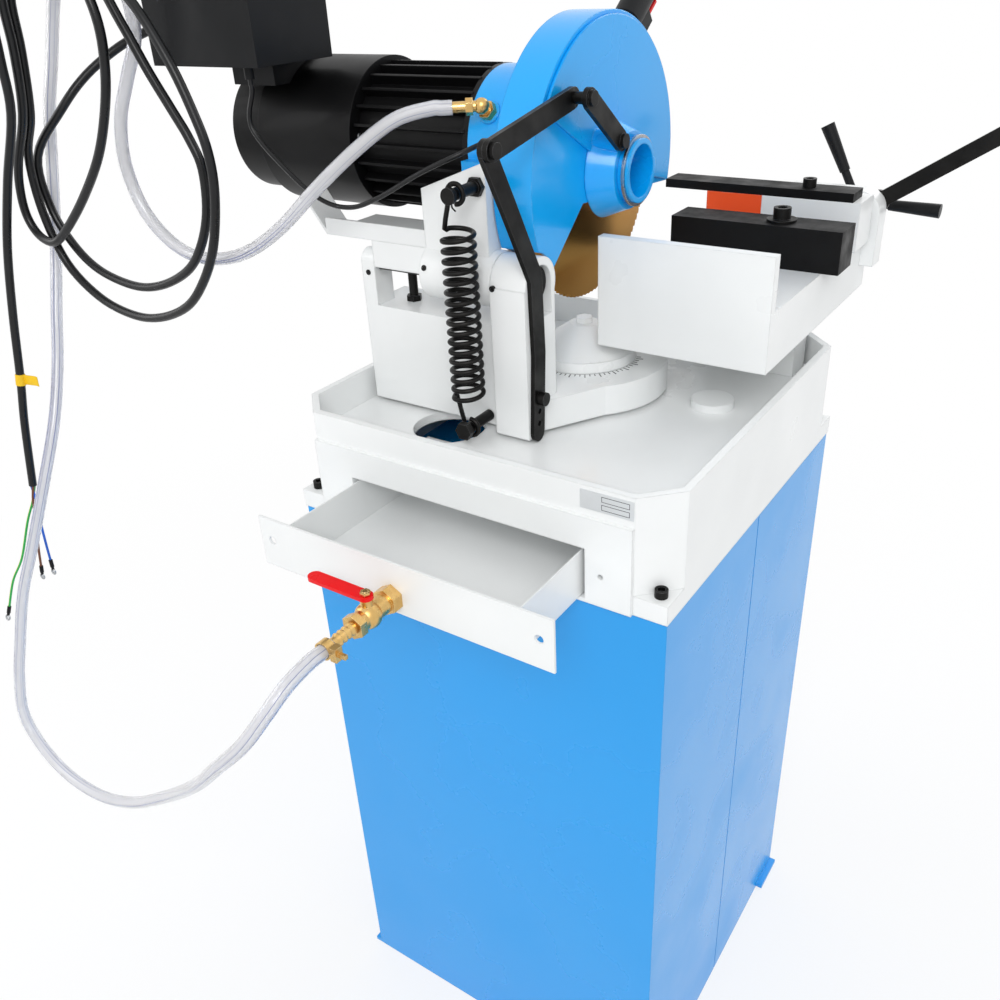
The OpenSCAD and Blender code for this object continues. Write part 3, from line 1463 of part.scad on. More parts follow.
module moving_guard() {
  x = guard_right_x + slide_gap;
  bolt = guard_point(lever_bolt_share);
  color(paint_blue) difference() {
    union() {
      translate([x, spin_y, spin_z]) rotate([0, 90, 0])
        cylinder(r1 = collar_root, r2 = collar_top, h = collar_length);
      push_x(x, shield_sheet) translate([spin_y, spin_z]) rotate(shield_start)
        rotate_sector(guard_radius - guard_wall, shield_end - shield_start);
      translate([x, bolt[0], bolt[1]]) rod_x(strap_width * half, collar_length);
    }
    translate([x - overrun, spin_y, spin_z]) rod_x(hub_radius + 2 * run_fit, collar_length + 2 * overrun);
    translate([x + shield_sheet, bolt[0], bolt[1]]) rod_x(screw_radius + run_fit, collar_length);
  }
}

// Round sector starting on the first axis
module rotate_sector(radius, angle) {
  far = radius * 2;
  intersection() {
    circle(r = radius, $fn = 128);
    polygon([[0, 0], [far, 0], [far * cos(angle / 3), far * sin(angle / 3)],
      [far * cos(angle * 2 / 3), far * sin(angle * 2 / 3)], [far * cos(angle), far * sin(angle)]]);
  }
}

module guard_lever() {
  bolt = guard_point(lever_bolt_share);
  pin = guard_point(lever_pin_share);
  low_x = link_x + strap_sheet + slide_gap;
  color(black) {
    push_x(lever_x, strap_sheet) strap_outline([bolt, pin], strap_width);
    translate([lever_x - collar_length * half, bolt[0], bolt[1]])
      rod_x(screw_radius, collar_length * half + strap_sheet);
    translate([lever_x + strap_sheet, bolt[0], bolt[1]]) rod_x(screw_radius * 1.8, screw_radius);
    translate([low_x, pin[0], pin[1]]) rod_x(screw_radius * 1.4, lever_x - low_x + overrun);
    translate([lever_x + strap_sheet, pin[0], pin[1]]) rod_x(screw_radius * 1.8, screw_radius);
  }
}

module guard_link() {
  pin = guard_point(lever_pin_share);
  color(black) difference() {
    push_x(link_x, strap_sheet) strap_outline([strap_pin, pin], strap_width);
    translate([link_x - overrun, strap_pin[0], strap_pin[1]])
      rod_x(screw_radius + run_fit, strap_sheet + 2 * overrun);
  }
}

button_z = box_z + box_height * 0.6;

module control_box() {
  color(black) difference() {
    union() {
      block([box_left_x, box_back_y, box_z], [box_right_x, box_front_y, box_z + box_height]);
      block([box_left_x + box_width * 0.3, box_front_y - box_depth * 0.4, motor_z + cowl_radius * 0.7],
        [box_right_x - box_width * 0.3, motor_y, box_z + box_wall]);
    }
    block([box_left_x + box_wall, box_back_y + box_wall, box_z + box_wall],
      [box_right_x - box_wall, box_front_y - box_wall, box_z + box_height - box_wall]);
    translate([cowl_left_x - overrun, motor_y, motor_z]) rod_x(cowl_radius, cowl_length + 2 * overrun);
    for (s = [0.3, 0.7]) translate([box_left_x + box_width * s, box_front_y - box_wall - overrun, button_z])
      rod_y(button_radius * 0.8, box_wall + 2 * overrun);
    translate([box_left_x - overrun, box_back_y + box_depth * half, gland_z])
      rod_x(cable_radius * 1.2 + run_fit, box_wall + 2 * overrun);
  }
}

module push_button(share, tint) {
  color(tint) translate([box_left_x + box_width * share, box_front_y, button_z]) {
    translate([0, slide_gap + button_reach * half, 0]) rod_y(button_radius, button_reach * half);
    translate([0, -box_wall * 2, 0])
      rod_y(button_radius * 0.8 - run_fit, box_wall * 2 + slide_gap + button_reach * half + overrun * half);
  }
}

module start_button() {
  push_button(0.3, steel);
}

module stop_button() {
  push_button(0.7, red);
}

module cable_gland() {
  color(black) translate([box_left_x, box_back_y + box_depth * half, gland_z]) {
    translate([-cable_radius * 4, 0, 0]) rod_x(cable_radius * 1.5, cable_radius * 2.5);
    translate([-cable_radius * 1.5, 0, 0]) rod_x(cable_radius * 2.2, cable_radius * 1.5, 6);
    rod_x(cable_radius * 1.2, box_wall * 2);
  }
  color(black) translate([box_left_x + box_width * 0.8, box_back_y + box_depth * 0.15,
    box_z - switch_radius * 5]) cylinder(r = switch_radius * 2, h = switch_radius * 5);
}

// Quarter of a bent rod, from the X axis towards the Y axis
module rod_bend(radius, bend) {
  rotate_extrude(angle = 90, $fn = 64) translate([bend, 0]) circle(r = radius, $fn = 48);
}

module hose_hook() {
  bend = hook_radius * 2;
  color(steel) {
    translate([box_left_x - box_wall, hook_root_y, hook_z]) rod_x(hook_radius * 2, box_wall);
    translate([hook_x + bend, hook_root_y, hook_z]) rod_x(hook_radius, hook_side - bend);
    translate([hook_x + bend, hook_root_y - bend, hook_z]) rotate([0, 0, 90]) rod_bend(hook_radius, bend);
    translate([hook_x, hook_tip_y + bend, hook_z]) rod_y(hook_radius, hook_root_y - hook_tip_y - bend * 2);
    translate([hook_x, hook_tip_y + bend, hook_z + bend]) rotate([0, 90, 0]) rotate([0, 0, -90])
      rod_bend(hook_radius, bend);
    translate([hook_x, hook_tip_y, hook_z + bend]) cylinder(r = hook_radius, h = hook_radius * 5 - bend);
  }
}

// Route of the coolant hose, from the valve over the hook to the fitting
hook_top = hook_z + hook_radius + slide_gap;
hose_top = [hook_x, box_back_y - hook_reach * 0.22, hook_top + hose_radius];
hose_low_shares = [[-0.01, -1.065, 0.032], [-0.022, -1.115, -0.005], [-0.065, -1.148, -0.075],
  [-0.18, -1.14, -0.2],
  [-0.35, -1.1, -0.38], [-0.55, -1.06, -0.56], [-0.77, -1.04, -0.725], [-0.985, -1.02, -0.835],
    [-1.175, -1.005, -0.865],
  [-1.315, -0.99, -0.825], [-1.385, -0.975, -0.745], [-1.385, -0.95, -0.625], [-1.36, -0.925, -0.505],
  [-1.335, -0.88, -0.345], [-1.305, -0.825, -0.205], [-1.29, -0.75, -0.045], [-1.295, -0.66, 0.12],
  [-1.335, -0.58, 0.255], [-1.38, -0.515, 0.375], [-1.41, -0.45, 0.525], [-1.395, -0.41, 0.715],
  [-1.355, -0.395, 0.88], [-1.3, -0.385, 1.01], [-1.245, -0.38, 1.13], [-1.19, -0.38, 1.22],
  [-1.145, -0.38, 1.257]];
hose_high_shares = [[-1.035, -0.38, 1.257], [-0.99, -0.38, 1.22], [-0.955, -0.38, 1.15],
  [-0.96, -0.38, 1.06], [-1.015, -0.385, 0.97],
  [-1.06, -0.395, 0.88], [-1.075, -0.4, 0.775], [-1.045, -0.4, 0.67], [-0.975, -0.4, 0.6],
    [-0.885, -0.4, 0.565],
  [-0.77, -0.4, 0.57], [-0.66, -0.4, 0.605], [-0.55, -0.395, 0.67], [-0.44, -0.38, 0.76],
    [-0.35, -0.335, 0.84],
  [-0.28, -0.28, 0.895]];
fitting_way = [cos(barb_turn), sin(barb_turn), 0];
fitting_end = elbow + hose_radius * 4 * fitting_way;
hose_start = [-valve_left, hose_y, valve_z];
hose_low_points = concat(
  [hose_start, hose_start + [0, -hose_radius * 2, 0], hose_start + [0, -hose_radius * 4, 0]],
  route(hose_low_shares));
hose_high_points = concat(
  [hose_top],
  route(hose_high_shares),
  [fitting_end + hose_radius * 3 * fitting_way, fitting_end + hose_radius * 1.5 * fitting_way, fitting_end]);
hose_steps = 2;
hose_path = smooth_path(concat(hose_low_points, hose_high_points), hose_steps);
hose_split = len(hose_low_points) * hose_steps;

module hose_low() {
  color(clear) tube(hose_path, hose_radius, 10, 0, hose_split);
}

module hose_high() {
  color(clear) tube(hose_path, hose_radius, 10, hose_split);
}

// Route of the power cable, from its gland in loops over the hook to its loose end
coil_lead_shares = [[-1.11, -0.21, 1.065], [-1.185, -0.26, 1.03], [-1.245, -0.335, 0.97],
  [-1.29, -0.4, 0.895]];
coil_a_shares = [[-1.365, 0.785], [-1.37, 0.655], [-1.31, 0.56], [-1.22, 0.5], [-1.085, 0.475], [-0.97, 0.49],
  [-0.855, 0.54], [-0.785, 0.605], [-0.735, 0.695], [-0.72, 0.795], [-0.745, 0.86], [-0.785, 0.92],
    [-0.84, 1],
  [-0.9, 1.1], [-0.98, 1.22]];
coil_b_shares = [[-1.19, 1.24], [-1.25, 1.16], [-1.265, 1.04], [-1.3, 0.895], [-1.36, 0.79], [-1.365, 0.645],
  [-1.315, 0.515], [-1.205, 0.435], [-1.075, 0.405], [-0.96, 0.415], [-0.845, 0.46], [-0.765, 0.53],
    [-0.7, 0.625],
  [-0.66, 0.745], [-0.655, 0.84], [-0.68, 0.925], [-0.73, 1.03], [-0.82, 1.15], [-0.95, 1.235]];
coil_c_shares = [[-1.19, 1.24], [-1.24, 1.16], [-1.25, 1.04], [-1.285, 0.9], [-1.365, 0.78], [-1.395, 0.7],
  [-1.395, 0.635], [-1.36, 0.59], [-1.3, 0.58], [-1.23, 0.62], [-1.125, 0.705], [-1.025, 0.805],
    [-0.96, 0.9], [-0.915, 1],
  [-0.9, 1.1], [-0.93, 1.19], [-1, 1.255]];
tail_shares = [[-1.19, -0.54, 1.24], [-1.24, -0.545, 1.16], [-1.25, -0.55, 1.03], [-1.27, -0.55, 0.905],
  [-1.345, -0.565, 0.745], [-1.385, -0.595, 0.58], [-1.385, -0.635, 0.41], [-1.385, -0.67, 0.23],
    [-1.4, -0.69, 0.1],
  [-1.415, -0.715, -0.09]];
coil_top = hook_top + cable_radius * 1.6;

// One loop of the coil at its own place along the hook, and its way over the hook
function coil_loop(shares, place) = [for (s = shares) [s[0] * tray_width, place, top_z + s[1] * tray_width]];
function coil_over(k) = [hook_x, (coil_places[k] + coil_places[k + 1]) * half, coil_top];

coil_places = [for (k = [0:3]) box_back_y - hook_reach * half - cable_radius * 2.6 * k];
gland_end = [box_left_x - cable_radius * 4, box_back_y + box_depth * half, gland_z];
coil_points = concat(
  [gland_end, gland_end + cable_radius * [-2.5, 0, 0]],
  route(coil_lead_shares),
  coil_loop(coil_a_shares, coil_places[0]),
  [coil_over(0)],
  coil_loop(coil_b_shares, coil_places[1]),
  [coil_over(1)],
  coil_loop(coil_c_shares, coil_places[2]));
cable_steps = 2;
cable_path = smooth_path(concat(coil_points, [coil_over(2)], route(tail_shares)), cable_steps);
cable_split = len(coil_points) * cable_steps;
coil_gap = min([for (i = [0:cable_split]) for (j = [i + 6:1:cable_split])
  norm(cable_path[i] - cable_path[j])]) - 2 * cable_radius;
echo(coil_gap = coil_gap);

module cable_coil() {
  color(black) tube(cable_path, cable_radius, 8, 0, cable_split);
}

// Tag round the cable and loose wires at its end
tag_length = cable_radius * 2.8;
tag_gap_share = 0.14;
wire_gauge = cable_radius * 0.32;
wire_ring = cable_radius * 0.5;
wire_shares = [
  [[-1.425, -0.725, -0.14], [-1.455, -0.745, -0.21], [-1.49, -0.78, -0.33], [-1.53, -0.81, -0.41],
    [-1.55, -0.84, -0.5]],
  [[-1.405, -0.725, -0.14], [-1.4, -0.735, -0.2], [-1.39, -0.745, -0.27], [-1.385, -0.75, -0.325]],
  [[-1.415, -0.73, -0.14], [-1.425, -0.735, -0.21], [-1.44, -0.745, -0.29], [-1.455, -0.75, -0.37]]];

module cable_tail() {
  last = len(cable_path) - 1;
  place = cable_path[last - cable_steps];
  way = heading(cable_path, last - cable_steps);
  color(black) tube(cable_path, cable_radius, 8, cable_split);
  color(gold) translate(place) rotate([0, acos(way[2]), atan2(way[1], way[0])]) difference() {
    translate([0, 0, -tag_length * half]) cylinder(r = cable_radius * 1.6, h = tag_length);
    translate([0, 0, -tag_length]) cylinder(r = cable_radius * (1 + tag_gap_share), h = tag_length * 2);
  }
  for (k = [0:2]) {
    start = cable_path[last] + wire_ring * [cos(120 * k + 90), sin(120 * k + 90), 0];
    color(gold) tube(smooth_path(concat([start], route(wire_shares[k])), 2), wire_gauge, 6);
  }
}

// Route of the switch cable, from its gland to the gear case
switch_shares = [[-0.75, -0.29, 0.87], [-0.62, -0.29, 0.77], [-0.52, -0.29, 0.71], [-0.43, -0.29, 0.7],
  [-0.34, -0.29, 0.73], [-0.22, -0.29, 0.79], [-0.13, -0.26, 0.83]];
switch_start = [box_left_x + box_width * 0.8, box_back_y + box_depth * 0.15, box_z - switch_radius * 5];
switch_angle = 80;
switch_way = [0, -sin(switch_angle), cos(switch_angle)];
switch_end = [guard_left_x - case_width / 3, motor_y, motor_z] + case_motor_radius * switch_way;

module switch_cable() {
  color(black) tube(smooth_path(concat(
    [switch_start, switch_start - switch_radius * [0, 0, 2], switch_start - switch_radius * [0, 0, 5]],
    route(switch_shares),
    [switch_end + switch_radius * 3 * switch_way, switch_end]), 2), switch_radius, 8);
}

stand_rear();
stand_front();
stand_door();
door_latch();
base_tray();
tray_screws();
data_plate();
swivel_post();
swivel_cap();
drawer();
drain_valve();
valve_lever();
hose_clamp();
vise_bed();
fixed_jaw();
fixed_jaw_screw();
vise_slide();
moving_jaw();
moving_jaw_screw();
jaw_liner();
lead_screw();
crank();
clamp_lever();
swivel_arm();
pivot_shaft();
stop_screw();
arm_bolts();
guard_strap();
swivel_lock();
rocker();
spring_pin();
return_spring();
motor_shelf();
head_case();
retaining_ring();
spindle_bearings();
coolant_fitting();
head_handle();
handle_grip();
trigger();
spindle();
saw_blade();
blade_flange();
motor_body();
fan_cowl();
rotor();
cooling_fan();
moving_guard();
guard_lever();
guard_link();
control_box();
start_button();
stop_button();
cable_gland();
hose_hook();
hose_low();
hose_high();
cable_coil();
cable_tail();
switch_cable();
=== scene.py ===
"""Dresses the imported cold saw: finishes for its solids, its hose, cables and spring, and small fittings."""

from __future__ import annotations

import logging
import math
from dataclasses import dataclass
from enum import Enum
from itertools import product
from typing import Mapping, Sequence

import bpy
from mathutils import Matrix, Vector


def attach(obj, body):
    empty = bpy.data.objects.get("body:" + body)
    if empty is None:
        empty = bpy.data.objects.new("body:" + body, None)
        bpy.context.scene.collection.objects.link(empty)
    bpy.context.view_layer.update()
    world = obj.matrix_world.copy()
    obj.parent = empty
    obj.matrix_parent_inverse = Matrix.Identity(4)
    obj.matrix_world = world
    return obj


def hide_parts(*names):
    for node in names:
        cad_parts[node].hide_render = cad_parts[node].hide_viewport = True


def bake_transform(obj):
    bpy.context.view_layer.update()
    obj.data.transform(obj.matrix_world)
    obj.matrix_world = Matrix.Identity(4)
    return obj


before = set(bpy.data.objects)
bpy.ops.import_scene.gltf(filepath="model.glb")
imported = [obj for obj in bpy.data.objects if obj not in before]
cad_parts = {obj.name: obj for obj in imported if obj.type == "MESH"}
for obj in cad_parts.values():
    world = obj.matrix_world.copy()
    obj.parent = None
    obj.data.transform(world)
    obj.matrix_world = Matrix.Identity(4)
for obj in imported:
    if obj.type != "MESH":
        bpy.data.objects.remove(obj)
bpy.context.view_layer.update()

LOG = logging.getLogger("cold_saw")
MM = 0.001
# Routes are written in shares of the tray's width, counted up from the stand's top, both in metres.
TRAY = 0.45
STAND_TOP = 0.78
# Edges flatter than the first angle are shaded smooth, and edges sharper than the second are bevelled.
SMOOTH_DEG = 35.0
BEVEL_DEG = 40.0
# How many steps a plain bevel and a full rounding have.
BEVEL_STEPS = 2
ROUNDING_STEPS = 3
# The least dot product of a way and the normal of a face that looks that way.
FACING = 0.99
# The upward share of a line's direction from which it counts as steep.
STEEP = 0.9
# How closely a rounded normal follows the true one where an edge begins and where it is full.
EDGE_RANGE = (0.995, 0.86, 0.0, 1.0)
# How many rays look for an edge that is near.
EDGE_RAYS = 4

Point = tuple[float, float, float]
Pair = tuple[float, float]
Range = tuple[float, float, float, float]
Piece = bpy.types.Object
Tree = bpy.types.NodeTree
Socket = bpy.types.NodeSocket


class Way(Enum):
    """The main ways that a piece looks. The drawer is at the rear and the door at the front."""

    LEFT = (-1.0, 0.0, 0.0)
    RIGHT = (1.0, 0.0, 0.0)
    REAR = (0.0, -1.0, 0.0)
    FRONT = (0.0, 1.0, 0.0)
    UP = (0.0, 0.0, 1.0)

    @property
    def vector(self) -> Vector:
        """Gives the way as a vector of length one."""
        return Vector(self.value)


def linear(code: str) -> Range:
    """Turns an sRGB hex colour to linear light.

    Args:
        code: Six hex digits.

    Returns:
        Red, green, blue and an alpha of one.
    """
    parts = [int(code[i:i + 2], 16) / 255.0 for i in (0, 2, 4)]
    red, green, blue = (p / 12.92 if p <= 0.04045 else ((p + 0.055) / 1.055) ** 2.4 for p in parts)
    return (red, green, blue, 1.0)


def per_metre(size_mm: float) -> float:
    """Gives a texture scale whose features are about this many millimetres wide."""
    return 1.0 / (size_mm * MM)


def add_node(
    tree: Tree,
    kind: str,
    settings: Mapping[str, object] | None = None,
    values: Mapping[str | int, object] | None = None,
    links: Mapping[str | int, Socket] | None = None,
) -> bpy.types.Node:
    """Adds one node with its settings, input values and links.

    Args:
        tree: The node tree to add to.
        kind: The shader node's type name.
        settings: Attributes of the node itself.
        values: Values for its inputs, by name or place.
        links: Sockets that feed its inputs, by name or place.

    Returns:
        The new node.
    """
    node = tree.nodes.new("ShaderNode" + kind)
    for name, value in (settings or {}).items():
        setattr(node, name, value)
    for name, value in (values or {}).items():
        node.inputs[name].default_value = value
    for name, socket in (links or {}).items():
        tree.links.new(socket, node.inputs[name])
    return node


def mapped(span: Range, by: float = 1.0) -> dict[int, float]:
    """Gives the inputs of a range: two levels, and what each becomes, scaled and one at most."""
    low, high, least, most = span
    return {1: low, 2: high, 3: min(1.0, least * by), 4: min(1.0, most * by)}


@dataclass(frozen=True)
class Finish:
    """A surface finish that makes one material.

    Attributes:
        name: The material's name, for the real material.
        colour: Its main colour as sRGB hex.
        roughness: Its roughness where it is clean.
        metallic: One for bare metal, less under oxide or dust, and zero for paint, plastic and rubber.
        gloss: The shader's specular level, a half for a clean surface and less for a dull one.
    """

    name: str
    colour: str
    roughness: float = 0.4
    metallic: float = 0.0
    gloss: float = 0.5

    def make(self) -> bpy.types.Material:
        """Makes the material, or gives the one already made.

        Returns:
            The material of this finish.
        """
        known = bpy.data.materials.get(self.name)
        if known is not None:
            return known
        material = bpy.data.materials.new(self.name)
        material.use_nodes = True
        tree = material.node_tree
        tree.nodes.clear()
        shader = add_node(tree, "BsdfPrincipled", None, self.constants(), self.pattern(tree))
        add_node(tree, "OutputMaterial", links={"Surface": shader.outputs["BSDF"]})
        return material

    def constants(self) -> dict[str, object]:
        """Gives what is the same all over the surface, by the shader's inputs."""
        return {"Base Color": linear(self.colour), "Roughness": self.roughness, "Metallic": self.metallic,
                "Specular IOR Level": self.gloss}

    def pattern(self, tree: Tree) -> dict[str, Socket]:
        """Gives what varies over the surface, by the shader's inputs: nothing in a plain finish."""
        return {}


@dataclass(frozen=True)
class Weathered(Finish):
    """A finish stained in clouds over a fine grain, and rubbed in spots at its rounded edges.

    Attributes:
        cloud_mm: The width of the clouds.
        cloud_detail: How many finer layers they have.
        stain: The colour that the clouds turn to.
        stain_share: How far they turn.
        stain_range: Two levels of the clouds, and how much of that share shows at each.
        dull_range: Two levels of the clouds, and the roughness there as a share of the clean surface's.
        grain_mm: The width of the grain.
        grain_detail: How many finer layers it has.
        grain_depth_mm: Its depth.
        relief: How strongly it shows.
        edge_mm: How far in from an edge the rounding reaches.
        worn: The colour of rubbed edges.
        wear: How far they turn to it.
        spot_mm: The width of the rubbed spots.
        spot_detail: How many finer layers they have.
        spot_range: Two levels of the spots' noise, and how much is rubbed at each.
    """

    cloud_mm: float = 140.0
    cloud_detail: float = 5.0
    stain: str = "000000"
    stain_share: float = 0.12
    stain_range: Range = (0.38, 0.72, 0.0, 1.0)
    dull_range: Range = (0.3, 0.75, 0.8, 1.5)
    grain_mm: float = 2.4
    grain_detail: float = 2.0
    grain_depth_mm: float = 0.03
    relief: float = 0.5
    edge_mm: float = 1.2
    worn: str = "9AA0A6"
    wear: float = 0.35
    spot_mm: float = 7.0
    spot_detail: float = 4.0
    spot_range: Range = (0.48, 0.6, 0.0, 1.0)

    def pattern(self, tree: Tree) -> dict[str, Socket]:
        """Adds the stains, the rubbed edges, the clouded sheen and the grain.

        Args:
            tree: The node tree to add to.

        Returns:
            The sockets for the shader's colour, roughness and normal.
        """
        place = add_node(tree, "TexCoord").outputs["Object"]
        cloud, grain, spot = (
            add_node(tree, "TexNoise", None, {"Scale": per_metre(width), "Detail": detail},
                     {"Vector": place}).outputs[0]
            for width, detail in ((self.cloud_mm, self.cloud_detail), (self.grain_mm, self.grain_detail),
                                  (self.spot_mm, self.spot_detail)))
        rounded = add_node(tree, "Bevel", {"samples": EDGE_RAYS},
                           {"Radius": self.edge_mm * MM}).outputs["Normal"]
        true = add_node(tree, "NewGeometry").outputs["Normal"]
        dot = add_node(tree, "VectorMath", {"operation": "DOT_PRODUCT"}, None, {0: rounded, 1: true})
        edge = add_node(tree, "MapRange", None, mapped(EDGE_RANGE), {0: dot.outputs["Value"]})
        spots = add_node(tree, "MapRange", None, mapped(self.spot_range, self.wear), {0: spot})
        rubbed = add_node(tree, "Math", {"operation": "MULTIPLY"}, None,
                          {0: edge.outputs[0], 1: spots.outputs[0]})
        share = add_node(tree, "MapRange", None, mapped(self.stain_range, self.stain_share), {0: cloud})
        stained = add_node(tree, "Mix", {"data_type": "RGBA"},
                           {6: linear(self.colour), 7: linear(self.stain)}, {0: share.outputs[0]})
        shown = add_node(tree, "Mix", {"data_type": "RGBA"}, {7: linear(self.worn)},
                         {0: rubbed.outputs[0], 6: stained.outputs[2]})
        dull = add_node(tree, "MapRange", None, mapped(self.dull_range, self.roughness), {0: cloud})
        bump = add_node(tree, "Bump", None, {"Strength": self.relief, "Distance": self.grain_depth_mm * MM},
                        {"Height": grain, "Normal": rounded})
        return {"Base Color": shown.outputs[2], "Roughness": dull.outputs[0], "Normal": bump.outputs[0]}


@dataclass(frozen=True)
class SprayedEnamel(Weathered):
    """Gloss enamel sprayed on steel or cast iron: a clear coat over a soft orange peel, worn at its edges.

    Attributes:
        coat: The weight of the clear coat.
        coat_roughness: Its roughness.
    """

    coat: float = 0.35
    coat_roughness: float = 0.08

    def constants(self) -> dict[str, object]:
        """Adds the clear coat."""
        return super().constants() | {"Coat Weight": self.coat, "Coat Roughness": self.coat_roughness}


@dataclass(frozen=True)
class WorkedMetal(Weathered):
    """Bare or blackened metal: a fine grain from the tool, clouds of oil or tarnish, and bright edges."""

    cloud_mm: float = 26.0
    cloud_detail: float = 6.0
    stain: str = "1A1A1B"
    stain_share: float = 1.0
    stain_range: Range = (0.0, 1.0, 0.0, 1.0)
    dull_range: Range = (0.3, 0.7, 0.75, 1.35)
    grain_mm: float = 1.2
    grain_detail: float = 3.0
    grain_depth_mm: float = 0.02
    relief: float = 0.35
    edge_mm: float = 0.7
    worn: str = "8A8C8E"
    wear: float = 0.5
    spot_range: Range = (0.0, 1.0, 1.0, 1.0)


@dataclass(frozen=True)
class MouldedPolymer(Weathered):
    """Moulded plastic, dipped vinyl or cable rubber: a few scuffs, a fine tooled grain and a soft shine."""

    cloud_mm: float = 38.0
    cloud_detail: float = 6.0
    stain: str = "55565A"
    stain_share: float = 0.22
    stain_range: Range = (0.5, 0.8, 0.0, 1.0)
    dull_range: Range = (0.3, 0.75, 0.8, 1.4)
    grain_mm: float = 0.9
    edge_mm: float = 0.8
    wear: float = 0.0


@dataclass(frozen=True)
class GroundBlade(Finish):
    """High-speed steel with a bronze vapour coat: rings left by grinding, and painted shade that darkens it
    towards the rim.

    Attributes:
        rim_shade: The darker colour painted towards the rim as shade.
        rim_shade_range: Two distances from the spindle in metres, and how far the painted shade turns the
            colour at each.
        centre: The spindle's place in metres.
        ring_mm: The spacing of the grinding rings, drawn coarser than real ones so that they show.
        ring_detail: How many finer layers they have.
        ring_depth_mm: Their depth.
        relief: How strongly they show.
        dull_range: Two levels of the rings, and the roughness there as a share of the clean steel's.
    """

    rim_shade: str = "6E4A22"
    rim_shade_range: Range = (0.045, 0.15, 0.0, 0.75)
    centre: Point = (0.0, 0.052, 1.114)
    ring_mm: float = 0.7
    ring_detail: float = 3.0
    ring_depth_mm: float = 0.004
    relief: float = 0.2
    dull_range: Range = (0.3, 0.7, 0.85, 1.2)

    def pattern(self, tree: Tree) -> dict[str, Socket]:
        """Adds the grinding rings and the painted shade towards the rim.

        Args:
            tree: The node tree to add to.

        Returns:
            The sockets for the shader's colour, roughness and normal.
        """
        place = add_node(tree, "TexCoord").outputs["Object"]
        shifted = add_node(tree, "VectorMath", {"operation": "SUBTRACT"}, {1: self.centre}, {0: place})
        flat = add_node(tree, "VectorMath", {"operation": "MULTIPLY"}, {1: (0.0, 1.0, 1.0)},
                        {0: shifted.outputs[0]})
        far = add_node(tree, "VectorMath", {"operation": "LENGTH"}, None,
                       {0: flat.outputs[0]}).outputs["Value"]
        rings = add_node(tree, "TexNoise", {"noise_dimensions": "1D"},
                         {"Scale": per_metre(self.ring_mm), "Detail": self.ring_detail},
                         {"W": far}).outputs[0]
        # Painted shade: the colour darkens with distance from the spindle, towards the rim.
        share = add_node(tree, "MapRange", None, mapped(self.rim_shade_range), {0: far})
        shown = add_node(tree, "Mix", {"data_type": "RGBA"},
                         {6: linear(self.colour), 7: linear(self.rim_shade)}, {0: share.outputs[0]})
        dull = add_node(tree, "MapRange", None, mapped(self.dull_range, self.roughness), {0: rings})
        bump = add_node(tree, "Bump", None, {"Strength": self.relief, "Distance": self.ring_depth_mm * MM},
                        {"Height": rings})
        return {"Base Color": shown.outputs[2], "Roughness": dull.outputs[0], "Normal": bump.outputs[0]}


@dataclass(frozen=True)
class StripedWire(Finish):
    """PVC wire insulation in one or two colours, the second as a stripe along the wire.

    Attributes:
        stripe: The colour of the stripe, which is the wire's own where it has none.
        share: The share of the wire's girth that the stripe takes.
    """

    stripe: str = "E8D21E"
    share: float = 0.32

    def pattern(self, tree: Tree) -> dict[str, Socket]:
        """Adds the stripe, which follows the wire's own map.

        Args:
            tree: The node tree to add to.

        Returns:
            The socket for the shader's colour.
        """
        girth = add_node(tree, "SeparateXYZ", None, None, {0: add_node(tree, "TexCoord").outputs["UV"]})
        striped = add_node(tree, "Math", {"operation": "LESS_THAN"}, {1: self.share}, {0: girth.outputs[0]})
        shown = add_node(tree, "Mix", {"data_type": "RGBA"},
                         {6: linear(self.colour), 7: linear(self.stripe)}, {0: striped.outputs[0]})
        return {"Base Color": shown.outputs[2]}


@dataclass(frozen=True)
class ClearVinyl(Finish):
    """Clear extruded vinyl hose: see-through, faintly milky, with drawn lines along it.

    Attributes:
        drawn: The colour of the drawn lines.
        drawn_range: Two levels of the lines' noise, and how far the colour turns at each.
        dull_range: Two levels of that noise, and the roughness at each.
        clearness: How much light goes through the wall.
        ior: The vinyl's index of refraction.
        bands: How many bands the noise has round the hose, and how many in a metre along it.
        fineness: How many lines a band has: a line is about 2.4 mm wide on a 14 mm hose.
        line_detail: How many finer layers the lines have.
    """

    drawn: str = "969EC6"
    drawn_range: Range = (0.55, 0.62, 0.0, 0.9)
    dull_range: Range = (0.3, 0.7, 0.1, 0.18)
    clearness: float = 0.62
    ior: float = 1.45
    bands: Pair = (6.0, 0.4)
    fineness: float = 3.0
    line_detail: float = 4.0

    def constants(self) -> dict[str, object]:
        """Adds the clearness."""
        return super().constants() | {"Transmission Weight": self.clearness, "IOR": self.ior}

    def pattern(self, tree: Tree) -> dict[str, Socket]:
        """Adds the drawn lines, which follow the hose's own map.

        Args:
            tree: The node tree to add to.

        Returns:
            The sockets for the shader's colour and roughness.
        """
        along = add_node(tree, "TexCoord").outputs["UV"]
        long = add_node(tree, "Mapping", None, {"Scale": (*self.bands, 1.0)}, {"Vector": along})
        lines = add_node(tree, "TexNoise", None, {"Scale": self.fineness, "Detail": self.line_detail},
                         {"Vector": long.outputs[0]}).outputs[0]
        share, dull = (add_node(tree, "MapRange", None, mapped(span), {0: lines}).outputs[0]
                       for span in (self.drawn_range, self.dull_range))
        shown = add_node(tree, "Mix", {"data_type": "RGBA"},
                         {6: linear(self.colour), 7: linear(self.drawn)}, {0: share})
        return {"Base Color": shown.outputs[2], "Roughness": dull}


@dataclass(frozen=True)
class SeeThrough(Finish):
    """The inside of a clear wall, which light passes straight through."""

    def constants(self) -> dict[str, object]:
        """Leaves nothing of the surface to see."""
        return super().constants() | {"Alpha": 0.0}


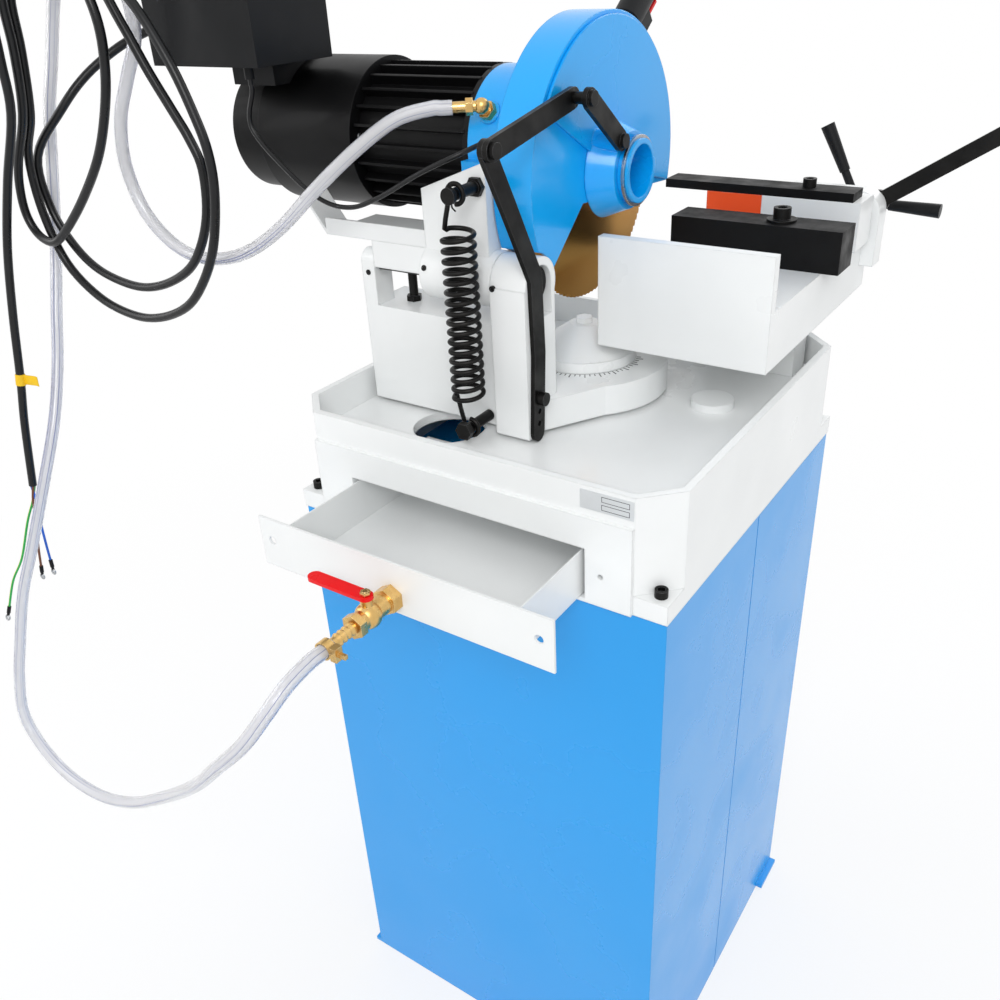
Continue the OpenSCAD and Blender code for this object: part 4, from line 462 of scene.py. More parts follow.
@dataclass(frozen=True)
class BrushedFoil(Finish):
    """Bare brushed aluminium foil plate with no print: fine lines along it and a soft shine.

    Attributes:
        line_mm: The spacing of the brushed lines.
        line_detail: How many finer layers they have.
        squeeze: How far the pattern is squeezed along the lines, which draws them long.
        dull_range: Two levels of the lines, and the roughness at each.
    """

    line_mm: float = 0.5
    line_detail: float = 3.0
    squeeze: float = 0.03
    dull_range: Range = (0.3, 0.7, 0.28, 0.46)

    def pattern(self, tree: Tree) -> dict[str, Socket]:
        """Adds the brushed lines.

        Args:
            tree: The node tree to add to.

        Returns:
            The socket for the shader's roughness.
        """
        place = add_node(tree, "TexCoord").outputs["Object"]
        long = add_node(tree, "Mapping", None, {"Scale": (self.squeeze, 1.0, 1.0)}, {"Vector": place})
        lines = add_node(tree, "TexNoise", None,
                         {"Scale": per_metre(self.line_mm), "Detail": self.line_detail},
                         {"Vector": long.outputs[0]})
        dull = add_node(tree, "MapRange", None, mapped(self.dull_range), {0: lines.outputs[0]})
        return {"Roughness": dull.outputs[0]}


class Shop:
    """The saw's finishes, each named for what the real surface is."""

    # Gloss enamel on folded sheet: a strong sky blue with a wet shine.
    blue = SprayedEnamel("blue_gloss_enamel_on_steel", "0299E6", 0.26, stain="0284CE", stain_share=0.03,
                         grain_mm=3.0, worn="6FBDF0", wear=0.2, coat=0.12)
    # The same blue over cast aluminium, painted lighter than on the sheet as painted light on the head and
    # guard: the casting's grain shows under the shine.
    cast_blue_painted_lighter = SprayedEnamel(
        "blue_gloss_enamel_on_castings_painted_lighter", "02A6F4", 0.22, stain="0292DC", stain_share=0.06, grain_mm=4.0,
        grain_depth_mm=0.06, edge_mm=2.0, worn="7CC9F6", wear=0.2, coat=0.2)
    # Light grey enamel on sheet steel: nearly white, half gloss.
    white = SprayedEnamel("light_grey_enamel_on_steel", "ECEEEE", 0.34, stain="D2D5D6", stain_share=0.25,
                          worn="A6AAAD", wear=0.15, coat=0.2)
    # Light grey enamel over filled cast iron: softer edges and a rougher skin.
    cast_white = SprayedEnamel(
        "light_grey_enamel_on_cast_iron", "EFF1F1", 0.32, stain="D8DADA", stain_share=0.25, grain_mm=3.6,
        grain_depth_mm=0.08, edge_mm=2.2, worn="B0B4B6", wear=0.15, coat=0.25)
    # Blackened steel: dark, oily, brighter at rubbed edges.
    black = WorkedMetal("black_oxide_steel", "2C2B2A", 0.42, 0.85, stain="141414", worn="77787A", wear=0.4)
    # Planed jaws of dark cast iron: flat and dusty.
    jaw = WorkedMetal("dark_planed_cast_iron", "131314", 0.5, 0.2, 0.2, stain="0A0A0B", grain_mm=0.8,
                      worn="4C4D4F", wear=0.4)
    # Turned or ground steel: pale and bright.
    steel = WorkedMetal("bright_turned_steel", "BDBFC2", 0.28, 1.0, stain="8E9195", worn="DDDEE0", wear=0.4)
    # Cast and turned brass: warm yellow, darker and duller in small clouds.
    brass = WorkedMetal("yellow_brass", "E9C685", 0.28, 1.0, cloud_mm=9.0, stain="C9A05C", worn="F6E2B4")
    # Blade: bronze coated high-speed steel with grinding rings, and painted shade darkening it towards the
    # rim.
    blade = GroundBlade("bronze_coated_blade_steel", "C2913F", 0.22, 1.0, rim_shade="9A6D2B")
    # Motor: black enamel over ribbed castings, with a dull shine.
    motor = SprayedEnamel("black_gloss_enamel_on_castings", "0B0B0C", 0.38, gloss=0.16, stain="0E0E0F",
                          stain_share=0.15, grain_depth_mm=0.05, worn="2E2F31", wear=0.25, coat=0.04)
    # Switch box, gland and fan: black moulded plastic with a fine grain.
    plastic = MouldedPolymer("black_moulded_abs", "121315", 0.42, gloss=0.2, stain="2C2D30")
    # Lever sleeve: red vinyl, dipped, glossy.
    red = MouldedPolymer("red_dipped_vinyl", "E8070F", 0.3, gloss=0.25, stain="A8101A", grain_depth_mm=0.01)
    # Start button: green moulded plastic.
    green = MouldedPolymer("green_moulded_abs", "1E9A4A", 0.3, stain="17703A", grain_depth_mm=0.01)
    # Liner behind the vise jaw: orange painted strip.
    orange = SprayedEnamel("orange_enamel_on_steel", "FF5824", 0.4, stain="EC4A1A", stain_share=0.1,
                           worn="E8B8A0", wear=0.5)
    # Cable: black PVC, soft shine with long highlights.
    jacket = MouldedPolymer("black_pvc_cable_jacket", "0F1012", 0.3, gloss=0.35, stain="2A2B2E",
                            grain_mm=1.4, grain_depth_mm=0.02)
    # Coolant hose: clear vinyl.
    hose = ClearVinyl("clear_vinyl_hose", "FBFBFD", 0.12)
    # Where two stretches of one hose meet: nothing to see, as inside the hose's own wall.
    meeting = SeeThrough("clear_vinyl_inside_wall", "FFFFFF", 0.0)
    # Scale marks and ruled lines: dark grey enamel filled into fine lines.
    ink = Finish("dark_grey_filled_lines", "3A3C3F", 0.6)
    # Plate on the tray: bare foil.
    foil = BrushedFoil("bare_aluminium_foil_plate", "DADDDF", 0.36, 0.35)
    # Tag on the cable: yellow vinyl sleeve.
    tag = MouldedPolymer("yellow_vinyl_tag", "F2C40F", 0.4, stain="B08A0C", grain_depth_mm=0.01)
    # Earth wire: green insulation with a yellow stripe.
    earth = StripedWire("green_and_yellow_pvc_wire", "1FA64A", 0.35)
    # Neutral wire: blue insulation.
    neutral = StripedWire("blue_pvc_wire", "1F5FC4", 0.35, stripe="1F5FC4")
    # Live wire: brown insulation.
    live = StripedWire("brown_pvc_wire", "6B3A1E", 0.35, stripe="6B3A1E")


def deselect() -> None:
    """Leaves edit mode and selects nothing."""
    if bpy.context.object is not None and bpy.context.object.mode != "OBJECT":
        bpy.ops.object.mode_set(mode="OBJECT")
    bpy.ops.object.select_all(action="DESELECT")


def make_active(piece: Piece) -> None:
    """Selects one object alone and makes it the active one.

    Args:
        piece: The object.
    """
    deselect()
    piece.select_set(True)
    bpy.context.view_layer.objects.active = piece


def apply_place() -> None:
    """Puts the active object's place, turn and scale into its mesh."""
    bpy.ops.object.transform_apply(location=True, rotation=True, scale=True)


def select_facing(piece: Piece, way: Vector, least: float = FACING) -> None:
    """Goes into edit mode with the faces selected that look one way.

    Args:
        piece: The mesh object.
        way: The way, as a vector of length one.
        least: The least dot product of the way and a face's normal.
    """
    make_active(piece)
    bpy.ops.object.mode_set(mode="EDIT")
    bpy.ops.mesh.select_mode(type="FACE")
    bpy.ops.mesh.select_all(action="DESELECT")
    bpy.ops.object.mode_set(mode="OBJECT")
    for face in piece.data.polygons:
        face.select = face.normal.dot(way) > least
    bpy.ops.object.mode_set(mode="EDIT")


def sink_face(piece: Piece, way: Vector, rim: float, depth: float) -> None:
    """Insets the face that looks one way and sinks what is left of it.

    Args:
        piece: The mesh object.
        way: The way that the face looks.
        rim: The width of the rim that stays, in metres.
        depth: How far the middle sinks, or stands out where this is negative.
    """
    select_facing(piece, way)
    bpy.ops.mesh.inset(thickness=rim, depth=0.0)
    bpy.ops.mesh.extrude_region_move(TRANSFORM_OT_translate={"value": tuple(way * -depth)})
    bpy.ops.object.mode_set(mode="OBJECT")


def settle(piece: Piece, name: str, finish: Finish) -> Piece:
    """Puts a piece's place into its mesh, smooths it and gives it its finish.

    Args:
        piece: The object to settle.
        name: Its name.
        finish: Its finish.

    Returns:
        The same object.
    """
    make_active(piece)
    apply_place()
    bpy.ops.object.shade_smooth_by_angle(angle=math.radians(SMOOTH_DEG))
    piece.name = name
    piece.data.name = name
    piece.data.materials.clear()
    piece.data.materials.append(finish.make())
    return piece


def turn_to(direction: Vector) -> Point:
    """Gives the Euler angles that turn +Z to a direction."""
    return tuple(direction.to_track_quat("Z", "Y").to_euler())


def drum(centre: Vector, direction: Vector, radius: float, depth: float, sides: int) -> Piece:
    """Adds a cylinder as the start of a turned piece.

    Args:
        centre: Its middle in metres.
        direction: Its axis.
        radius: Its radius in metres.
        depth: Its length along the axis.
        sides: How many sides it has.

    Returns:
        The new object, with its place in its mesh.
    """
    deselect()
    bpy.ops.mesh.primitive_cylinder_add(vertices=sides, radius=radius, depth=depth, location=tuple(centre),
                                        rotation=turn_to(direction))
    piece = bpy.context.object
    apply_place()
    return piece


def bevel_piece(piece: Piece, width: float, segments: int = BEVEL_STEPS) -> None:
    """Rounds a piece's sharp edges with an applied bevel.

    Args:
        piece: The mesh object.
        width: The bevel's width in metres.
        segments: How many steps round it.
    """
    make_active(piece)
    bevel = piece.modifiers.new("rounding", "BEVEL")
    bevel.width = width
    bevel.segments = segments
    bevel.limit_method = "ANGLE"
    bevel.angle_limit = math.radians(BEVEL_DEG)
    bpy.ops.object.modifier_apply(modifier=bevel.name)


def join_pieces(pieces: Sequence[Piece]) -> Piece:
    """Joins several pieces into the first.

    Args:
        pieces: The objects to join.

    Returns:
        The joined object.
    """
    deselect()
    for piece in pieces:
        piece.select_set(True)
    bpy.context.view_layer.objects.active = pieces[0]
    bpy.ops.object.join()
    return pieces[0]


def smooth_path(points: Sequence[Point], steps: int) -> list[Vector]:
    """Runs one smooth curve through points.

    Args:
        points: The route's points in metres.
        steps: How many steps each stretch is cut into.

    Returns:
        The curve's points.
    """
    p = [Vector(x) for x in points]
    last = len(p) - 1
    line: list[Vector] = []
    for i in range(last):
        a, b, c, d = p[max(i - 1, 0)], p[i], p[i + 1], p[min(i + 2, last)]
        slope, bend, twist = c - a, 2 * a - 5 * b + 4 * c - d, 3 * b - a - 3 * c + d
        for k in range(steps):
            t = k / steps
            line.append(0.5 * (2 * b + slope * t + bend * t ** 2 + twist * t ** 3))
    line.append(p[last])
    return line


@dataclass(frozen=True)
class Ring:
    """One ring of a tube: its centre, two ways across it, and how far along the tube it is."""

    place: Vector
    side: Vector
    up: Vector
    run: float


def rings_along(line: Sequence[Vector]) -> list[Ring]:
    """Sets rings along a line, square to it and without twist.

    Args:
        line: The centres of the rings.

    Returns:
        The rings, in the line's order.
    """
    last = len(line) - 1
    heads = [(line[min(i + 1, last)] - line[max(i - 1, 0)]).normalized() for i in range(len(line))]
    aside = Way.RIGHT if abs(heads[0].z) >= STEEP else Way.UP
    side = heads[0].cross(aside.vector).normalized()
    rings: list[Ring] = []
    run = 0.0
    for i, (place, head) in enumerate(zip(line, heads)):
        side = (side - head * side.dot(head)).normalized()
        run += (place - line[i - 1]).length if i else 0.0
        rings.append(Ring(place, side, head.cross(side), run))
    return rings


def tube_piece(
    name: str,
    rings: Sequence[Ring],
    radius: float,
    sides: int,
    finish: Finish,
    bore: float = 0.0,
    runs_on: tuple[bool, bool] = (False, False),
) -> Piece:
    """Builds a round tube on its rings, solid or with a bore, with a map round and along it.

    Args:
        name: The piece's name.
        rings: Its rings, from one end to the other.
        radius: Its outer radius in metres.
        sides: How many sides it has.
        finish: Its finish.
        bore: The radius of its bore, or nought where it is solid.
        runs_on: Whether its first and last rings run on into another stretch of the same tube.

    Returns:
        The new object.
    """
    walls = [radius, bore] if bore else [radius]
    row = sides * len(walls)
    last = len(rings) - 1
    turns = [2.0 * math.pi * k / sides for k in range(sides)]
    verts = [ring.place + (ring.side * math.cos(turn) + ring.up * math.sin(turn)) * wall
             for ring in rings for wall in walls for turn in turns]
    faces: list[tuple[int, ...]] = []
    maps: list[Pair] = []
    for i, w, k in product(range(last), range(len(walls)), range(sides)):
        corners = ((i, k), (i, k + 1), (i + 1, k + 1), (i + 1, k))[::-1 if w else 1]
        faces.append(tuple(ring * row + w * sides + corner % sides for ring, corner in corners))
        maps += [(corner / sides, rings[ring].run) for ring, corner in corners]
    for end in (0, last):
        first, order = end * row, 1 if end else -1
        if bore:
            for k in range(sides):
                n = (k + 1) % sides
                faces.append((first + n, first + sides + n, first + sides + k, first + k)[::order])
                maps += [(k / sides, rings[end].run)] * 4
        else:
            faces.append(tuple(range(first, first + sides))[::order])
            maps += [(0.5, rings[end].run)] * sides
    mesh = bpy.data.meshes.new(name)
    mesh.from_pydata([tuple(v) for v in verts], [], faces)
    for loop, place in zip(mesh.uv_layers.new(name="girth_and_run").data, maps):
        loop.uv = place
    mesh.materials.append(finish.make())
    if any(runs_on):
        mesh.materials.append(Shop.meeting.make())
    long_faces = last * row
    for face in mesh.polygons:
        face.use_smooth = face.index < long_faces
        if bore and not face.use_smooth and runs_on[face.index >= long_faces + sides]:
            face.material_index = 1
    # Sharp edges at both ends keep the shading of a stretch from bending towards its end faces.
    for edge in mesh.edges:
        nearest, furthest = sorted(corner // row for corner in edge.vertices)
        edge.use_edge_sharp = nearest == furthest and nearest in (0, last)
    mesh.update()
    piece = bpy.data.objects.new(name, mesh)
    bpy.context.scene.collection.objects.link(piece)
    return piece


def length_of(line: Sequence[Vector]) -> float:
    """Adds up a line's length in metres."""
    return sum((b - a).length for a, b in zip(line, line[1:]))


def route(shares: Sequence[Point]) -> list[Point]:
    """Turns shares of the tray's width, counted up from the stand's top, to metres."""
    return [(x * TRAY, y * TRAY, STAND_TOP + z * TRAY) for x, y, z in shares]


@dataclass(frozen=True)
class Lamp:
    """A soft square lamp: its place, what it looks at and its side in metres, and its power in watts."""

    name: str
    place: Point
    aim: Point
    size: float
    power: float


@dataclass
class Studio:
    """The camera at the photograph's place, a pale floor and soft light."""

    camera_place: Point = (0.5116, -0.8825, 1.32065)
    camera_right: Point = (0.829027, 0.557193, -0.047426)
    camera_down: Point = (0.242986, -0.435315, -0.866867)
    camera_ahead: Point = (-0.503658, 0.707132, -0.496279)
    lens_mm: float = 34.71
    sensor_mm: float = 36.0
    nearest: float = 10 * MM
    floor_size: float = 60.0
    floor_z: float = -0.5 * MM
    floor_colour: str = "F4F4F4"
    # Two distances from the part's middle in metres, and how white the floor shows at each.
    white_range: Range = (0.6, 2.0, 0.7, 1.0)
    surround: float = 0.72
    lamps: tuple[Lamp, ...] = (
        Lamp("key_softbox", (1.3, -2.4, 2.9), (0.0, 0.0, 0.85), 1.5, 46.0),
        Lamp("side_softbox", (-2.6, -1.2, 2.0), (-0.1, 0.0, 0.8), 1.8, 20.0),
        Lamp("back_softbox", (0.6, 2.6, 2.6), (0.0, 0.0, 0.9), 1.6, 26.0))

    def build_camera(self) -> None:
        """Adds the camera and makes it the scene's."""
        data = bpy.data.cameras.new("photo_camera")
        data.sensor_fit = "HORIZONTAL"
        data.sensor_width = self.sensor_mm
        data.lens = self.lens_mm
        data.clip_start = self.nearest
        camera = bpy.data.objects.new("photo_camera", data)
        right, down, ahead = Vector(self.camera_right), Vector(self.camera_down), Vector(self.camera_ahead)
        turn = Matrix((right, -down, -ahead)).transposed().to_4x4()
        camera.matrix_world = Matrix.Translation(self.camera_place) @ turn
        bpy.context.scene.collection.objects.link(camera)
        bpy.context.scene.camera = camera

    def seen(self, tree: Tree) -> Socket:
        """Marks what the camera sees, straight, through glass or in a gloss.

        Args:
            tree: The node tree to add to.

        Returns:
            A socket that is one on such rays.
        """
        rays = add_node(tree, "LightPath").outputs
        through = add_node(tree, "Math", {"operation": "MAXIMUM"}, None,
                           {0: rays["Is Camera Ray"], 1: rays["Is Transmission Ray"]})
        return add_node(tree, "Math", {"operation": "MAXIMUM"}, None,
                        {0: through.outputs[0], 1: rays["Is Glossy Ray"]}).outputs[0]

    def build_floor(self) -> None:
        """Adds the pale floor, which shows nearly white and keeps a soft shadow."""
        deselect()
        bpy.ops.mesh.primitive_plane_add(size=self.floor_size, location=(0.0, 0.0, self.floor_z))
        floor = bpy.context.object
        floor.name = "studio_floor"
        material = bpy.data.materials.new("pale_studio_floor")
        material.use_nodes = True
        tree = material.node_tree
        tree.nodes.clear()
        paper = add_node(tree, "BsdfDiffuse", None, {"Color": linear(self.floor_colour)})
        glow = add_node(tree, "Emission", None, {"Color": linear("FFFFFF"), "Strength": 1.0})
        spot = add_node(tree, "TexCoord").outputs["Object"]
        far = add_node(tree, "VectorMath", {"operation": "LENGTH"}, None, {0: spot})
        share = add_node(tree, "MapRange", None, mapped(self.white_range), {0: far.outputs["Value"]})
        part = add_node(tree, "Math", {"operation": "MULTIPLY"}, None,
                        {0: self.seen(tree), 1: share.outputs[0]})
        both = add_node(tree, "MixShader", None, None,
                        {0: part.outputs[0], 1: paper.outputs[0], 2: glow.outputs[0]})
        add_node(tree, "OutputMaterial", None, None, {"Surface": both.outputs[0]})
        floor.data.materials.append(material)

    def build_light(self) -> None:
        """Adds the white surround and three soft lamps."""
        world = bpy.data.worlds.new("white_surround")
        bpy.context.scene.world = world
        world.use_nodes = True
        tree = world.node_tree
        tree.nodes.clear()
        plain, white = (
            add_node(tree, "Background", None, {"Color": linear("FFFFFF"), "Strength": strength}).outputs[0]
            for strength in (self.surround, 1.0))
        both = add_node(tree, "MixShader", None, None, {0: self.seen(tree), 1: plain, 2: white})
        add_node(tree, "OutputWorld", None, None, {"Surface": both.outputs[0]})
        for row in self.lamps:
            data = bpy.data.lights.new(row.name, "AREA")
            data.size = row.size
            data.energy = row.power
            lamp = bpy.data.objects.new(row.name, data)
            lamp.location = row.place
            lamp.rotation_euler = (Vector(row.aim) - Vector(row.place)).to_track_quat("-Z", "Y").to_euler()
            bpy.context.scene.collection.objects.link(lamp)

    def build_view(self) -> None:
        """Shows colours as they are written."""
        bpy.context.scene.view_settings.view_transform = "Standard"


@dataclass(frozen=True)
class Stretch:
    """One stretch of the hose.

    Attributes:
        name: The piece's name.
        node: The solid that it stands for.
        bodies: The one body that it rides on, or the two that it runs between.
        bends: The points of the whole route between which it bends.
    """

    name: str
    node: str
    bodies: tuple[str, ...]
    bends: tuple[int, ...] = ()


@dataclass
class CoolantHose:
    """The clear hose from the drain valve over the hook to the gear case.

    It is one hose, in four stretches, each of which spans one joint at most.
    """

    radius: float = 7 * MM
    bore: float = 5 * MM
    sides: int = 24
    steps: int = 8
    start: Point = (-0.004, -0.4245, 0.8)
    top: Point = (-0.4905, -0.1709, 1.35146)
    fitting_end: Point = (-0.0809363, -0.0935248, 1.19071)
    fitting_way: Point = (-0.819152, -0.573576, 0.0)
    # The points of the hose's straight ends, in radii from the valve and from the fitting.
    start_straight: Point = (0.0, 2.0, 4.0)
    end_straight: Point = (3.0, 1.5, 0.0)
    low_shares: tuple[Point, ...] = (
        (-0.01, -1.065, 0.032), (-0.022, -1.115, -0.005), (-0.065, -1.148, -0.075), (-0.18, -1.14, -0.2),
        (-0.35, -1.1, -0.38), (-0.55, -1.06, -0.56), (-0.77, -1.04, -0.725), (-0.985, -1.02, -0.835),
        (-1.175, -1.005, -0.865), (-1.315, -0.99, -0.825), (-1.385, -0.975, -0.745), (-1.385, -0.95, -0.625),
        (-1.36, -0.925, -0.505), (-1.335, -0.88, -0.345), (-1.305, -0.825, -0.205), (-1.29, -0.75, -0.045),
        (-1.295, -0.66, 0.12), (-1.335, -0.58, 0.255), (-1.38, -0.515, 0.375), (-1.41, -0.45, 0.525),
        (-1.395, -0.41, 0.715), (-1.355, -0.395, 0.88), (-1.3, -0.385, 1.01), (-1.245, -0.38, 1.13),
        (-1.19, -0.38, 1.22), (-1.145, -0.38, 1.257))
    high_shares: tuple[Point, ...] = (
        (-1.035, -0.38, 1.257), (-0.99, -0.38, 1.22), (-0.955, -0.38, 1.15), (-0.96, -0.38, 1.06),
        (-1.015, -0.385, 0.97), (-1.06, -0.395, 0.88), (-1.075, -0.4, 0.775), (-1.045, -0.4, 0.67),
        (-0.975, -0.4, 0.6), (-0.885, -0.4, 0.565), (-0.77, -0.4, 0.57), (-0.66, -0.4, 0.605),
        (-0.55, -0.395, 0.67), (-0.44, -0.38, 0.76), (-0.35, -0.335, 0.84), (-0.28, -0.28, 0.895))
    # The points of the route where the first three stretches begin.
    first_cuts: tuple[int, ...] = (0, 6, 11)
    stretches: tuple[Stretch, ...] = (
        Stretch("hose_from_valve", "hose_low", ("drawer_unit", "base"), (2, 6)),
        Stretch("hose_middle", "hose_low", ("base", "arm_unit"), (6, 11)),
        Stretch("hose_to_hook", "hose_low", ("arm_unit", "head_unit"), (16, 27)),
        Stretch("hose_to_fitting", "hose_high", ("head_unit",)))

    def points(self) -> tuple[list[Point], int]:
        """Works out the whole route.

        Returns:
            The route's points in metres, and the place among them where the hose passes the hook.
        """
        x, y, z = self.start
        first = [(x, y - s * self.radius, z) for s in self.start_straight]
        end, way = Vector(self.fitting_end), Vector(self.fitting_way)
        last = [tuple(end + way * self.radius * s) for s in self.end_straight]
        low = first + route(self.low_shares)
        return low + [self.top] + route(self.high_shares) + last, len(low)

    def build(self) -> None:
        """Builds the four stretches, lets the last ride on its body, and leaves the others where they are."""
        points, over = self.points()
        line = smooth_path(points, self.steps)
        rings = rings_along(line)
        cuts = [cut * self.steps for cut in (*self.first_cuts, over, len(points) - 1)]
        for stretch, a, b in zip(self.stretches, cuts, cuts[1:]):
            runs_on = (a > 0, b < len(line) - 1)
            piece = tube_piece(stretch.name, rings[a:b + 1], self.radius, self.sides, Shop.hose, self.bore,
                               runs_on)
            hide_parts(stretch.node)
            if stretch.bends:
                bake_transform(piece)
            else:
                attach(piece, *stretch.bodies)


@dataclass
class StrainRelief:
    """The tapered, ribbed sleeve where the power cable leaves its gland."""

    radius: float = 8.4 * MM
    length: float = 26 * MM
    sunk: float = 1 * MM
    taper: float = 0.76
    lip: float = 0.8 * MM
    sides: int = 32
    rib_count: int = 5
    rib_first: float = 3.5 * MM
    rib_pitch: float = 4.4 * MM
    rib_radius: float = 8.9 * MM
    rib_shrink: float = 0.36 * MM
    rib_width: float = 1.9 * MM
    rib_rounding: float = 0.7 * MM

    def build(self, out: Vector) -> Piece:
        """Builds the sleeve and its ribs.

        Args:
            out: The gland's end.

        Returns:
            The sleeve.
        """
        way = Way.LEFT.vector
        tip = out + way * (self.length - self.sunk)
        sleeve = drum(tip - way * self.length / 2, way, self.radius, self.length, self.sides)
        select_facing(sleeve, way)
        bpy.ops.transform.resize(value=(1.0, self.taper, self.taper), center_override=tuple(tip))
        bpy.ops.mesh.inset(thickness=self.lip, depth=0.0)
        bpy.ops.object.mode_set(mode="OBJECT")
        pieces = [sleeve]
        for k in range(self.rib_count):
            place = out + way * (self.rib_first + self.rib_pitch * k)
            rib = drum(place, way, self.rib_radius - self.rib_shrink * k, self.rib_width, self.sides)
            bevel_piece(rib, self.rib_rounding, ROUNDING_STEPS)
            pieces.append(rib)
        return settle(join_pieces(pieces), "cable_strain_relief", Shop.plastic)


@dataclass
class CableTag:
    """The plain yellow tag round the power cable's tail, a sleeve with a flat flap."""

    wall: float = 1 * MM
    length: float = 14 * MM
    rounding: float = 0.5 * MM
    sides: int = 32
    flap_size: Point = (18 * MM, 1 * MM, 13 * MM)
    flap_place: Point = (11 * MM, 4 * MM, 0.0)
    flap_turn: Point = (0.0, 0.06, 0.35)
    flap_curl: Point = (3 * MM, 2 * MM, -1.5 * MM)
    flap_facing: float = 0.8
    flap_rounding: float = 0.4 * MM

    def build(self, place: Vector, way: Vector, radius: float) -> Piece:
        """Builds the sleeve and its flap.

        Args:
            place: The sleeve's middle.
            way: The cable's direction there.
            radius: The cable's radius.

        Returns:
            The tag.
        """
        sleeve = drum(place, way, radius + self.wall, self.length, self.sides)
        bevel_piece(sleeve, self.rounding)
        deselect()
        bpy.ops.mesh.primitive_cube_add(size=1.0, location=tuple(place + Vector(self.flap_place)))
        flap = bpy.context.object
        flap.scale = self.flap_size
        flap.rotation_euler = self.flap_turn
        apply_place()
        select_facing(flap, Way.RIGHT.vector, self.flap_facing)
        bpy.ops.mesh.extrude_region_move(TRANSFORM_OT_translate={"value": self.flap_curl})
        bpy.ops.object.mode_set(mode="OBJECT")
        bevel_piece(flap, self.flap_rounding)
        return settle(join_pieces([sleeve, flap]), "cable_tag", Shop.tag)


@dataclass
class RingLug:
    """A ring lug with its insulating sleeve, at a wire's end."""

    sleeve_radius: float = 2.6 * MM
    sleeve_length: float = 11 * MM
    sleeve_ahead: float = 3 * MM
    sleeve_sides: int = 20
    rim: float = 0.7 * MM
    neck: float = 4 * MM
    rounding: float = 0.35 * MM
    ring_ahead: float = 15.5 * MM
    ring_radius: float = 3.6 * MM
    ring_wire: float = 1.3 * MM
    ring_sides: tuple[int, int] = (28, 10)

    def build(self, name: str, place: Vector, way: Vector) -> Piece:
        """Builds the sleeve with its neck, and the ring.

        Args:
            name: The piece's name.
            place: The wire's end.
            way: The wire's direction there.

        Returns:
            The lug.
        """
        sleeve = drum(place + way * self.sleeve_ahead, way, self.sleeve_radius, self.sleeve_length,
                      self.sleeve_sides)
        sink_face(sleeve, way, self.rim, -self.neck)
        bevel_piece(sleeve, self.rounding)
        settle(sleeve, name + "_sleeve", Shop.plastic)
        side = way.cross(Way.FRONT.vector).normalized()
        round_steps, wire_steps = self.ring_sides
        deselect()
        bpy.ops.mesh.primitive_torus_add(
            location=tuple(place + way * self.ring_ahead), rotation=turn_to(side.cross(way)),
            major_radius=self.ring_radius, minor_radius=self.ring_wire, major_segments=round_steps,
            minor_segments=wire_steps)
        ring = settle(bpy.context.object, name, Shop.steel)
        sleeve.parent = ring
        return ring


